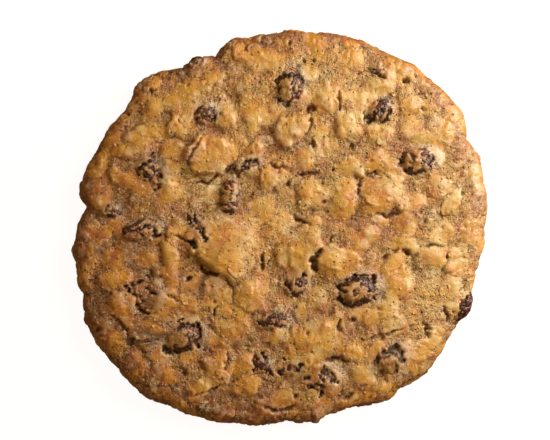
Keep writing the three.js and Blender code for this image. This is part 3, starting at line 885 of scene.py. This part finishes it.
def wrinkled_raisin(sphere, half, seed):
    """Points of a raisin before it is turned, and its folds: the sphere stretched to the half sizes,
    moved in and out by large folds, lengthwise creases and small wrinkles."""
    stretched = sphere * half
    lengthwise = stretched * (0.55, 1.0, 1.0)
    folds = np.sqrt(np.abs(noise(lengthwise, 2.3, seed))) - 0.45
    wrinkles = np.sqrt(np.abs(noise(stretched, 1.1, seed + 5))) - 0.45
    dents = noise(stretched, 3.6, seed + 9)
    move = 0.60 * folds + 0.25 * wrinkles + 0.25 * dents - 0.10
    return stretched + sphere * move[:, None], folds


sphere, sphere_faces = ball(RAISIN_ROUND, RAISIN_LONG)
print("a raisin has", len(sphere_faces), "faces")

# %% [markdown]
# Each raisin takes the middle, the axes and the half sizes that were read from the frame. A raisin near the
# rim is made a little smaller, because the dough is thin there. The one that hangs over the rim has dough
# baked on to its inner side, which a mask on its mesh marks.

# %% Raisins
NEAR_RIM = 44.0
SIZE_NEAR_RIM = 0.8
raisins = []
for number, name in enumerate(RAISINS, 1):
    middle, axes, half = raisin_seats[name]
    near_rim = np.hypot(*middle[:2]) > NEAR_RIM
    wrinkled, folds = wrinkled_raisin(sphere, half * (SIZE_NEAR_RIM if near_rim else 1.0), 200 + 13 * number)
    placed = middle + wrinkled @ axes
    raisin = new_mesh(name.replace("raisin", "raisin_skin"), placed, sphere_faces)
    dough = np.zeros(len(placed))
    if name == RIM_RAISIN:
        inward = (middle - placed)[:, :2] @ middle[:2] / np.hypot(*middle[:2])
        dough = fade_in(inward + 1.6 * noise(placed, 1.6, 151), 0.2, 0.9)
    add_masks(raisin, {"crease": np.clip(-2.2 * folds, 0, 1), "dough": dough})
    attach(raisin, "root")
    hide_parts(name)
    raisins.append(raisin)
print("raisins:", len(raisins))

# %% [markdown]
# ## Oat flakes and crumbs
#
# Rolled oats are thin ovals with a groove along them. Most are buried, but some edges stand clear of the
# crust with a shadow under them, which a height alone can't give. Each flake is a small closed shape, laid
# on the crust at its own tilt and sunk so that part of it shows. All flakes are one mesh, and all crumbs
# another.

# %% Placing small things on the crust
crust_normal = np.empty(len(crust.data.vertices) * 3)
crust.data.vertices.foreach_get("normal", crust_normal)
crust_normal = crust_normal.reshape(-1, 3)


def on_crust(place):
    """The crust's point and direction nearest to a place on the map, and how browned it is there."""
    nearest = np.argmin(np.hypot(*(surface[:, :2] - place).T) + 9 * (facing[:, 2] < 0))
    return surface[nearest], facing[nearest] + 0.6 * crust_normal[nearest], masks["toast"][nearest]


def turned(normal, turn, tilt_x, tilt_y):
    """Three axes whose last one is a direction tilted a little, and whose first one is turned about it."""
    up = normal / np.linalg.norm(normal) + (tilt_x, tilt_y, 0)
    up /= np.linalg.norm(up)
    side = np.cross(up, (np.cos(turn), np.sin(turn), 0))
    side /= np.linalg.norm(side)
    return np.stack([-np.cross(up, side), side, up])


def joined(name, shapes, shape_faces, values):
    """One mesh from many copies of a shape, each with its own points, and masks that give one value a
    copy."""
    count = len(shapes[0])
    all_faces = [[corner + count * k for corner in face] for k in range(len(shapes)) for face in shape_faces]
    made = new_mesh(name, np.vstack(shapes), all_faces)
    add_masks(made, {key: np.repeat(value, count) for key, value in values.items()})
    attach(made, "root")
    return made


print("directions read from the crust:", len(crust_normal))

# %% Oat flakes
FLAKE_AROUND = 14
FLAKE_RINGS = ((0.5, 0.9), (0.86, 0.6), (1.0, 0.0), (0.7, -0.5))  # reach and height of each ring
HAND_FLAKES = [  # x, y, half-length, half-width, turn in degrees: the palest flakes that stand clear
    (27.5, 24.0, 2.6, 1.5, 60), (44.0, 11.5, 2.2, 1.4, 20), (39.5, 37.0, 2.0, 1.2, -40),
    (-46.9, 17.0, 2.3, 0.5, 86), (-13.5, -38.8, 1.9, 0.6, 50), (-34.5, -7.5, 1.6, 0.9, 0),
    (22.0, -22.5, 2.2, 1.3, 30), (-35.0, 39.0, 2.2, 0.9, 30),
]


def flake_shape():
    """A flat oval: three rings of points on the top and one below, closed by a point above and one
    below."""
    turn = np.linspace(0, 2 * np.pi, FLAKE_AROUND, endpoint=False)
    rings = [np.stack([reach * np.cos(turn), reach * np.sin(turn), np.full(FLAKE_AROUND, height)], 1)
             for reach, height in FLAKE_RINGS]
    return np.vstack(rings + [[[0, 0, 1.0], [0, 0, -0.5]]]), closed_rings(len(FLAKE_RINGS), FLAKE_AROUND)


flake_points, flake_faces = flake_shape()
draw = np.random.default_rng(101)
flake_list = [(x, y, a, b, np.radians(turn), 0.8) for x, y, a, b, turn in HAND_FLAKES]
for x, y in scattered(13.0, 0.93 * MEAN_RADIUS, 103):
    length = draw.uniform(1.6, 2.6)
    width = length * draw.uniform(0.5, 0.75)
    flake_list.append((x, y, length, width, draw.uniform(0, np.pi), draw.uniform(0, 0.4)))
flake_shapes, flake_toast, flake_tone = [], [], []
for x, y, half_length, half_width, turn, tone in flake_list:
    place, normal, toast = on_crust((x, y))
    axes = turned(normal, turn, *draw.normal(0, 0.14, 2))
    size = np.array([half_length, half_width, 0.11 * half_length])
    shape = flake_points * size
    shape[:, 2] += 0.16 * (shape[:, 0] / half_length) ** 2 * half_length * draw.uniform(-0.6, 0.6)
    shape[:, 2] -= 0.12 * np.exp(-((shape[:, 1] / 0.35) ** 2))
    shape += 0.25 * half_width * np.stack([noise(shape + place, 1.5, s) for s in (111, 112, 113)], 1)
    flake_shapes.append(place + (shape - (0, 0, draw.uniform(0.20, 0.40))) @ axes)
    flake_toast.append(np.clip(toast - draw.uniform(0.0, 0.25), 0, 1))
    flake_tone.append(tone)
oat_flakes = joined("oat_flakes", flake_shapes, flake_faces, {"oat_and_highlight": flake_tone, "toast": flake_toast})
print("oat flakes:", len(flake_list), "with", len(oat_flakes.data.polygons), "faces")

# %% [markdown]
# Crumbs break off the edges of the crust and cling to it. A particle system could scatter them, but its
# copies aren't part of any mesh. Here each crumb is a small uneven ball of a few dozen faces, laid on the
# crust like the flakes.

# %% Crumbs
crumb_points, crumb_faces = ball(8, 6)
crumb_shapes, crumb_toast = [], []
for x, y in scattered(3.8, 0.98 * MEAN_RADIUS, 121):
    place, normal, toast = on_crust((x, y))
    axes = turned(normal, draw.uniform(0, np.pi), 0, 0)
    size = draw.uniform(0.15, 0.45) * np.array([1.0, draw.uniform(0.6, 1.0), draw.uniform(0.45, 0.8)])
    shape = crumb_points * (1 + 0.25 * noise(crumb_points + place, 0.9, 131))[:, None] * size
    crumb_shapes.append(place + shape @ axes)
    crumb_toast.append(np.clip(toast + draw.uniform(-0.3, 0.3), 0, 1))
crumb_count = len(crumb_shapes)
crumbs = joined("crumbs", crumb_shapes, crumb_faces,
                {"oat_and_highlight": draw.uniform(0, 0.6, crumb_count), "toast": crumb_toast})
print("crumbs:", crumb_count, "with", len(crumbs.data.polygons), "faces")

# %% [markdown]
# ## Finishes
#
# One node group turns masks into the colour of baked dough, and a second one adds the specks and fine
# pores. Crust, flakes and crumbs use both with their own values, so they look baked together. The groups
# put out colours and heights, and each material keeps its own Principled shader.

# %% Helpers for node groups
def srgb(red, green, blue):
    """A colour given in 0 to 255, as the eye sees it, changed to the light values that shaders work in."""
    value = np.array([red, green, blue]) / 255
    linear = np.where(value <= 0.04045, value / 12.92, ((value + 0.055) / 1.055) ** 2.4)
    return (*linear.tolist(), 1.0)


class Nodes:
    """A helper for one node tree, which adds labelled nodes and sets or joins their sockets."""

    def __init__(self, tree):
        self.tree = tree

    def add(self, kind, label="", values=None, **settings):
        """A new node with its settings, socket values and a label that says what it does."""
        node = self.tree.nodes.new(kind)
        node.label = label
        for key, value in settings.items():
            setattr(node, key, value)
        for key, value in (values or {}).items():
            node.inputs[key].default_value = value
        return node

    def link(self, source, target):
        """Join an output socket to an input socket."""
        self.tree.links.new(source, target)

    def put(self, socket, value):
        """Give an input socket a value, or join it where the value is another socket."""
        if isinstance(value, bpy.types.NodeSocket):
            self.link(value, socket)
        else:
            socket.default_value = value

    def mix(self, factor, first, second, label=""):
        """A colour mix. Factor, first and second are sockets or plain values. Returns the result socket."""
        node = self.add("ShaderNodeMix", label, data_type="RGBA")
        for socket, value in zip((node.inputs[0], node.inputs[6], node.inputs[7]), (factor, first, second)):
            self.put(socket, value)
        return node.outputs[2]

    def math(self, operation, first, second=0.0, third=0.0, clamp=False, label=""):
        """A math node on sockets or plain values. Returns the result socket."""
        node = self.add("ShaderNodeMath", label, operation=operation, use_clamp=clamp)
        for socket, value in zip(node.inputs, (first, second, third)):
            self.put(socket, value)
        return node.outputs[0]

    def above(self, first, second, gain):
        """How far the first is above the second, times a gain, kept from 0 to 1. Returns the result
        socket."""
        return self.math("MULTIPLY", self.math("SUBTRACT", first, second), gain, clamp=True)

    def ramp(self, factor, stops, label):
        """A colour ramp with stops of (place, colour). Returns the colour socket."""
        node = self.add("ShaderNodeValToRGB", label)
        elements = node.color_ramp.elements
        while len(elements) < len(stops):
            elements.new(0.5)
        for element, (place, colour) in zip(elements, stops):
            element.position = place
            element.color = colour
        self.link(factor, node.inputs[0])
        return node.outputs[0]

    def noise(self, position, scale, detail, label):
        """Noise texture over a position. Returns its value socket, from 0 to 1."""
        node = self.add("ShaderNodeTexNoise", label, {"Scale": scale, "Detail": detail})
        self.link(position, node.inputs["Vector"])
        return node.outputs[0]

    def bent(self, position, scale, reach):
        """The position pushed aside by up to half of reach each way by noise, so that what is read there
        frays."""
        node = self.add("ShaderNodeTexNoise", "fraying", {"Scale": scale, "Detail": 2.0})
        self.link(position, node.inputs["Vector"])
        centred = self.add("ShaderNodeVectorMath", operation="SUBTRACT")
        self.link(node.outputs["Color"], centred.inputs[0])
        centred.inputs[1].default_value = (0.5, 0.5, 0.5)
        moved = self.add("ShaderNodeVectorMath", operation="MULTIPLY_ADD")
        self.link(centred.outputs[0], moved.inputs[0])
        moved.inputs[1].default_value = (reach, reach, reach)
        self.link(position, moved.inputs[2])
        return moved.outputs[0]

    def stored(self, name):
        """The number that the mesh stores under a name. Returns its value socket."""
        return self.add("ShaderNodeAttribute", name, attribute_name=name).outputs["Fac"]

    def bump(self, height, distance, label):
        """A bump of full strength from a height. Returns the normal socket."""
        node = self.add("ShaderNodeBump", label, {"Strength": 1.0, "Distance": distance})
        self.link(height, node.inputs["Height"])
        return node.outputs[0]


def new_group(name, inputs, outputs):
    """An empty node group with named sockets. Inputs and outputs are (name, socket type, default)."""
    tree = bpy.data.node_groups.new(name, "ShaderNodeTree")
    for direction, sockets in (("INPUT", inputs), ("OUTPUT", outputs)):
        for label, kind, default in sockets:
            socket = tree.interface.new_socket(label, in_out=direction, socket_type=kind)
            if default is not None:
                socket.default_value = default
    return tree, tree.nodes.new("NodeGroupInput"), tree.nodes.new("NodeGroupOutput")


def new_material(name, values=None):
    """A material with one Principled shader. Returns the material, its nodes, that shader and the socket
    of the position on the object."""
    material = bpy.data.materials.new(name)
    material.use_nodes = True
    material.node_tree.nodes.clear()
    nodes = Nodes(material.node_tree)
    shader = nodes.add("ShaderNodeBsdfPrincipled", name, values)
    output = nodes.add("ShaderNodeOutputMaterial")
    nodes.link(shader.outputs[0], output.inputs[0])
    place = nodes.add("ShaderNodeTexCoord", "place on the object")
    return material, nodes, shader, place.outputs["Object"]


PER_METRE = 1.0 / UNIT
print("one map unit is", round(UNIT / MM, 3), "mm")

# %% [markdown]
# The colour of the crust goes from pale tan through gold to red-brown as toast rises. Open dough is duller,
# and the same tint paints wide hollows greyer as painted shade. An oat flake pulls the colour to cream, and
# the same tint paints highlights on ridges and on the right rim. Juice pulls it to a deeper brown, hollows
# are painted a deeper brown as painted shade, and paler dough beside the raisins is a painted highlight.
# Bare raisin skin is nearly black. Each mask steers one mix of colours, in the order of the table.

# %% Baked colour
FLOAT, COLOUR, VECTOR = "NodeSocketFloat", "NodeSocketColor", "NodeSocketVector"
TOAST_STOPS = ((0.0, (230, 187, 108)), (0.3, (213, 156, 60)), (0.65, (184, 106, 22)), (1.0, (126, 54, 4)))
# Painted light and shade among the tints: the tint of hollows is painted shade, the tint beside the raisins
# is a painted highlight, the oat tint also paints highlights, and the open tint also paints shade.
TINTS = (  # mask, how strongly it tints, the tint
    ("Open_and_shade", 0.50, (178, 134, 72)), ("Golden", 0.66, (226, 156, 44)), ("Oat_and_highlight", 0.50, (244, 214, 164)),
    ("Stain", 0.55, (142, 94, 46)), ("Pale", 0.64, (236, 208, 176)), ("Hollow_shade", 0.85, (104, 50, 4)),
    ("Skin", 0.9, (42, 22, 12)),
)


def baked_colour_group():
    """A group from masks to a base colour: toast gives a colour along a ramp, and then each mask mixes
    in its own tint by its value times its strength."""
    tree, source, sink = new_group(
        "baked colour",
        [("Toast", FLOAT, 0.4), ("Open_and_shade", FLOAT, 0.3), ("Golden", FLOAT, 0.2), ("Oat_and_highlight", FLOAT, 0.0),
         ("Stain", FLOAT, 0.0), ("Pale", FLOAT, 0.0), ("Hollow_shade", FLOAT, 0.0), ("Skin", FLOAT, 0.0)],
        [("Colour", COLOUR, None)],
    )
    nodes = Nodes(tree)
    stops = [(place, srgb(*colour)) for place, colour in TOAST_STOPS]
    colour = nodes.ramp(source.outputs["Toast"], stops, "how browned")
    for mask, strength, tint in TINTS:
        amount = nodes.math("MULTIPLY", source.outputs[mask], strength)
        colour = nodes.mix(amount, colour, srgb(*tint), label=mask)
    nodes.link(colour, sink.inputs["Colour"])
    return tree


baked_colour = baked_colour_group()
print("colour group:", len(baked_colour.nodes), "nodes")

# %% [markdown]
# A real crust also has detail finer than the mesh: pinholes, hair cracks, specks of sugar and flour, and
# blotches of browning. A bump map in a picture file could carry it, but a pattern made by nodes is sharp at
# any size. The group below puts out masks for it, and each material decides how strongly they show.

# %% Crumb texture
PORE_SIZES = ((2.1, 0.34), (1.2, 0.26), (0.7, 0.18))  # cells in a unit, share with a pore where open
PORES_EVERYWHERE = 0.09
PORE_RADIUS = 0.30
HAIR_CRACK_WIDTH = 0.035


def crumb_texture_group():
    """A group for the finest detail at a position: pores and hair cracks painted dark as painted shade, dark
    specks, light flecks, blotches of browning, and a bump height. Pores are dots of cell noise at three
    sizes, more of them where the dough is open."""
    tree, source, sink = new_group(
        "crumb texture",
        [("Position", VECTOR, None), ("Open_and_shade", FLOAT, 0.3)],
        [("Pore_shade_and_specks", FLOAT, None), ("Light", FLOAT, None), ("Blotches", FLOAT, None), ("Height", FLOAT, None)],
    )
    nodes = Nodes(tree)
    position = nodes.bent(source.outputs["Position"], 0.7 * PER_METRE, 0.8 * UNIT)
    blotches = nodes.noise(position, 0.30 * PER_METRE, 5.0, "blotches of browning")
    grain = nodes.noise(position, 2.0 * PER_METRE, 4.0, "sugar and flour grain")
    # Painted shade: pores and hair cracks are painted dark as holes. The finest speckle below is dark specks
    # of colour.
    pore_shade_and_specks = 0.0
    for size, share in PORE_SIZES:
        dots = nodes.add("ShaderNodeTexVoronoi", "pores", {"Scale": size * PER_METRE, "Randomness": 1.0})
        nodes.link(position, dots.inputs["Vector"])
        hole = nodes.above(PORE_RADIUS, dots.outputs["Distance"], 6.0)
        chosen = nodes.add("ShaderNodeSeparateColor", "which cells have a pore")
        nodes.link(dots.outputs["Color"], chosen.inputs[0])
        some = nodes.math("MULTIPLY_ADD", source.outputs["Open_and_shade"], share, PORES_EVERYWHERE,
                          label="more where open")
        gate = nodes.math("LESS_THAN", chosen.outputs[0], some)
        pore_shade_and_specks = nodes.math("MAXIMUM", nodes.math("MULTIPLY", hole, gate), pore_shade_and_specks)
    lines = nodes.add("ShaderNodeTexVoronoi", "hair cracks", {"Scale": 0.36 * PER_METRE},
                      feature="DISTANCE_TO_EDGE")
    nodes.link(position, lines.inputs["Vector"])
    thin = nodes.above(HAIR_CRACK_WIDTH, lines.outputs["Distance"], 30.0)
    broken = nodes.above(nodes.noise(position, 0.22 * PER_METRE, 2.0, "where hair cracks are"), 0.50, 8.0)
    crack = nodes.math("MULTIPLY", thin, broken)
    pore_shade_and_specks = nodes.math("MAXIMUM", pore_shade_and_specks, nodes.math("MULTIPLY", crack, 0.65))
    light = nodes.above(nodes.noise(position, 1.1 * PER_METRE, 3.0, "flecks of sugar and oat"), 0.56, 8.0)
    speckle = nodes.noise(source.outputs["Position"], 2.6 * PER_METRE, 2.0, "finest speckle")
    speckle = nodes.above(speckle, 0.55, 5.0)
    pore_shade_and_specks = nodes.math("MAXIMUM", pore_shade_and_specks, nodes.math("MULTIPLY", speckle, 0.30))
    height = nodes.math("MULTIPLY_ADD", pore_shade_and_specks, -0.7, grain)
    rough = nodes.math("MULTIPLY_ADD", source.outputs["Open_and_shade"], 0.95, 0.25)
    height = nodes.math("MULTIPLY", height, rough, label="rougher where open")
    for value, name in ((pore_shade_and_specks, "Pore_shade_and_specks"), (light, "Light"), (blotches, "Blotches"), (height, "Height")):
        nodes.link(value, sink.inputs[name])
    return tree


crumb_texture = crumb_texture_group()
print("texture group:", len(crumb_texture.nodes), "nodes")

# %% [markdown]
# Baked dough is dull where it is open and has a weak shine where sugar glazed it. One specular level holds
# for the whole surface, so it is a number on the shader itself, and the roughness follows the blotches and
# rises in the pores. Warmer, rosy places come from the same blotches, which keeps colour and shine
# together.

# %% Dough materials
DOUGH_SHINE = 0.86
PORE_DULLNESS = 0.4


def dough_material(name, masks_read, bump_height, roughness):
    """Baked dough: the masks that the mesh has go into the colour group, and the texture group adds blotches,
    rosy places, pores and hair cracks painted dark as painted shade, flecks and bump."""
    material, nodes, shader, position = new_material(name, {"Specular IOR Level": DOUGH_SHINE})
    texture = nodes.add("ShaderNodeGroup", "finest detail", node_tree=crumb_texture)
    nodes.link(position, texture.inputs["Position"])
    colour = nodes.add("ShaderNodeGroup", "baked colour", node_tree=baked_colour)
    blotches, pore_shade_and_specks = texture.outputs["Blotches"], texture.outputs["Pore_shade_and_specks"]
    for mask in masks_read:
        value = nodes.stored(mask)
        if mask == "toast":
            blotch = nodes.math("MULTIPLY_ADD", blotches, 0.8, -0.40, label="blotches")
            value = nodes.math("ADD", value, blotch, clamp=True)
        if mask == "open_and_shade":
            nodes.link(value, texture.inputs["Open_and_shade"])
        nodes.link(value, colour.inputs[mask.capitalize()])
    rosy = nodes.math("MULTIPLY", nodes.above(blotches, 0.51, 3.6), 0.58)
    tinted = nodes.mix(rosy, colour.outputs[0], srgb(226, 134, 76), label="rosy places")
    # Painted shade: pores and hair cracks are darkened.
    darker = nodes.mix(nodes.math("MULTIPLY", pore_shade_and_specks, 0.84), tinted, srgb(92, 42, 4), label="pores")
    light = nodes.math("MULTIPLY", texture.outputs["Light"], 0.42)
    flecked = nodes.mix(light, darker, srgb(246, 214, 158), label="flecks")
    nodes.link(flecked, shader.inputs["Base Color"])
    uneven = nodes.math("MULTIPLY_ADD", blotches, 0.2, roughness - 0.1)
    dull = nodes.math("MULTIPLY_ADD", pore_shade_and_specks, PORE_DULLNESS, uneven, clamp=True, label="pores are dull")
    nodes.link(dull, shader.inputs["Roughness"])
    nodes.link(nodes.bump(texture.outputs["Height"], bump_height * UNIT, "grain"), shader.inputs["Normal"])
    return material


CRUST_MASKS = ["toast", "open_and_shade", "golden", "oat_and_highlight", "stain", "pale", "hollow_shade", "skin"]
LOOSE_MASKS = ["toast", "oat_and_highlight"]
crust.data.materials.append(dough_material("crust", CRUST_MASKS, 0.50, 0.42))
oat_flakes.data.materials.append(dough_material("oat flake", LOOSE_MASKS, 0.25, 0.55))
crumbs.data.materials.append(dough_material("crumb", LOOSE_MASKS, 0.25, 0.6))
print("dough materials:", [piece.active_material.name for piece in (crust, oat_flakes, crumbs)])

# %% [markdown]
# Raisin skin is nearly black brown, redder where it is thin, and half glossy. Its creases are painted darker
# still, as painted shade, and smears of dough and specks of dry sugar dull it. A coat would look wet, so the
# gloss comes from a fairly low roughness alone.

# %% Raisin material
def raisin_material():
    """Dark red-brown skin in patches, with creases painted darker as painted shade, smears of dough, dry
    sugar and a fine wrinkled bump."""
    material, nodes, shader, position = new_material(
        "raisin skin", {"Specular IOR Level": 0.8, "Specular Tint": srgb(255, 226, 214)})
    patches = nodes.noise(position, 0.6 * PER_METRE, 2.0, "red and black patches")
    stops = [(0.36, srgb(29, 13, 9)), (0.5, srgb(66, 31, 22)), (0.64, srgb(116, 60, 40))]
    skin = nodes.ramp(patches, stops, "skin colour")
    # Painted shade: the creases are darkened.
    crease = nodes.math("MULTIPLY", nodes.stored("crease"), 0.8)
    skin = nodes.mix(crease, skin, srgb(16, 9, 9), label="painted crease shade")
    smear = nodes.above(nodes.noise(position, 0.9 * PER_METRE, 4.0, "dough smears"), 0.56, 7.0)
    skin = nodes.mix(smear, skin, srgb(146, 96, 52), label="dough on the skin")
    skin = nodes.mix(nodes.stored("dough"), skin, srgb(206, 154, 92), label="dough baked on")
    sugar = nodes.above(nodes.noise(position, 1.7 * PER_METRE, 2.0, "dry sugar"), 0.60, 7.0)
    skin = nodes.mix(nodes.math("MULTIPLY", sugar, 0.35), skin, srgb(180, 150, 124), label="sugar specks")
    nodes.link(skin, shader.inputs["Base Color"])
    dull = nodes.math("MULTIPLY_ADD", smear, 0.3, 0.30, label="smears are dull")
    nodes.link(dull, shader.inputs["Roughness"])
    fine = nodes.noise(position, 0.9 * PER_METRE, 1.0, "fine wrinkles")
    nodes.link(nodes.bump(fine, 0.9 * UNIT, "fine wrinkles"), shader.inputs["Normal"])
    return material


skin_material = raisin_material()
for raisin in raisins:
    raisin.data.materials.append(skin_material)
print("raisins covered:", len(raisins))

# %% [markdown]
# ## Table, light and camera
#
# The table is nearly white to the eye, because it glows for camera rays alone, and the cookie's shadow on
# it stays faint. To the lamps it is a dim brown-grey, so it throws only a little warm light up at the rim.

# %% Table
TABLE_REACH = 1.5
TABLE_GAP = 0.0002
TABLE_GLOW = 0.93
corners = [(-TABLE_REACH, -TABLE_REACH, 0), (TABLE_REACH, -TABLE_REACH, 0),
           (TABLE_REACH, TABLE_REACH, 0), (-TABLE_REACH, TABLE_REACH, 0)]
floor_mesh = bpy.data.meshes.new("table")
floor_mesh.from_pydata(corners, [], [(0, 1, 2, 3)])
floor = bpy.data.objects.new("table", floor_mesh)
bpy.context.scene.collection.objects.link(floor)
floor.location.z = -TABLE_GAP
floor_material = bpy.data.materials.new("table")
floor_material.use_nodes = True
floor_nodes = Nodes(floor_material.node_tree)
floor_shader = floor_material.node_tree.nodes["Principled BSDF"]
floor_shader.inputs["Base Color"].default_value = srgb(150, 122, 92)
floor_shader.inputs["Roughness"].default_value = 0.9
floor_shader.inputs["Emission Color"].default_value = (1, 1, 1, 1)
light_path = floor_nodes.add("ShaderNodeLightPath", "bright to the eye, but no lamp")
glow = floor_nodes.math("MULTIPLY", light_path.outputs["Is Camera Ray"], TABLE_GLOW)
floor_nodes.link(glow, floor_shader.inputs["Emission Strength"])
floor_mesh.materials.append(floor_material)
print("table:", 2 * TABLE_REACH, "m wide")

# %% [markdown]
# A broad soft key light stands low at the right, which gives every lump a bright right side and a shaded
# left one. A weak warm fill hangs above. The sky is warm as a lamp, so shaded sides stay golden, but white
# to the eye.

# %% Light
def area_light(name, place, size, power, colour):
    """A square area light at a place in metres, turned to face the cookie."""
    data = bpy.data.lights.new(name, "AREA")
    data.size = size
    data.energy = power
    data.color = colour
    lamp = bpy.data.objects.new(name, data)
    lamp.location = place
    towards = np.array(place) / -np.linalg.norm(place)
    lamp.rotation_euler = Vector(towards).to_track_quat("-Z", "Y").to_euler()
    bpy.context.scene.collection.objects.link(lamp)


area_light("key", place=(0.37, 0.21, 0.25), size=0.36, power=3.34, colour=(0.98, 1.0, 1.0))
area_light("fill", place=(0.0, 0.1, 0.6), size=0.7, power=0.5, colour=(1.0, 0.75, 0.40))
world = bpy.data.worlds.new("studio")
world.use_nodes = True
sky = Nodes(world.node_tree)
warm = world.node_tree.nodes["Background"]
warm.inputs["Color"].default_value = (1.0, 0.69, 0.30, 1)
warm.inputs["Strength"].default_value = 0.21
white = sky.add("ShaderNodeBackground", "white wall", {"Color": (1, 1, 1, 1), "Strength": 1.0})
seen = sky.add("ShaderNodeMixShader", "white to the eye, warm as a lamp")
sky.link(sky.add("ShaderNodeLightPath").outputs["Is Camera Ray"], seen.inputs[0])
sky.link(warm.outputs[0], seen.inputs[1])
sky.link(white.outputs[0], seen.inputs[2])
sky.link(seen.outputs[0], world.node_tree.nodes["World Output"].inputs[0])
bpy.context.scene.world = world
bpy.context.scene.view_settings.view_transform = "Standard"

# %% [markdown]
# The camera hangs high above the cookie and looks straight down, where a long lens shows a flat thing
# without stretching its rim. The width of the view and the camera's height give the lens.

# %% Camera
VIEW_WIDTH = 145.4
VIEW_MIDDLE = (-1.1, 2.1)
CAMERA_HEIGHT = 700.0
SENSOR = 36.0
camera_data = bpy.data.cameras.new("camera")
camera_data.sensor_width = SENSOR
camera_data.lens = SENSOR * (CAMERA_HEIGHT - 0.5 * TOP) / VIEW_WIDTH
camera = bpy.data.objects.new("camera", camera_data)
camera.location = (VIEW_MIDDLE[0] * UNIT, VIEW_MIDDLE[1] * UNIT, CAMERA_HEIGHT * UNIT)
bpy.context.scene.collection.objects.link(camera)
bpy.context.scene.camera = camera
print(f"lens: {camera_data.lens:.0f} mm")
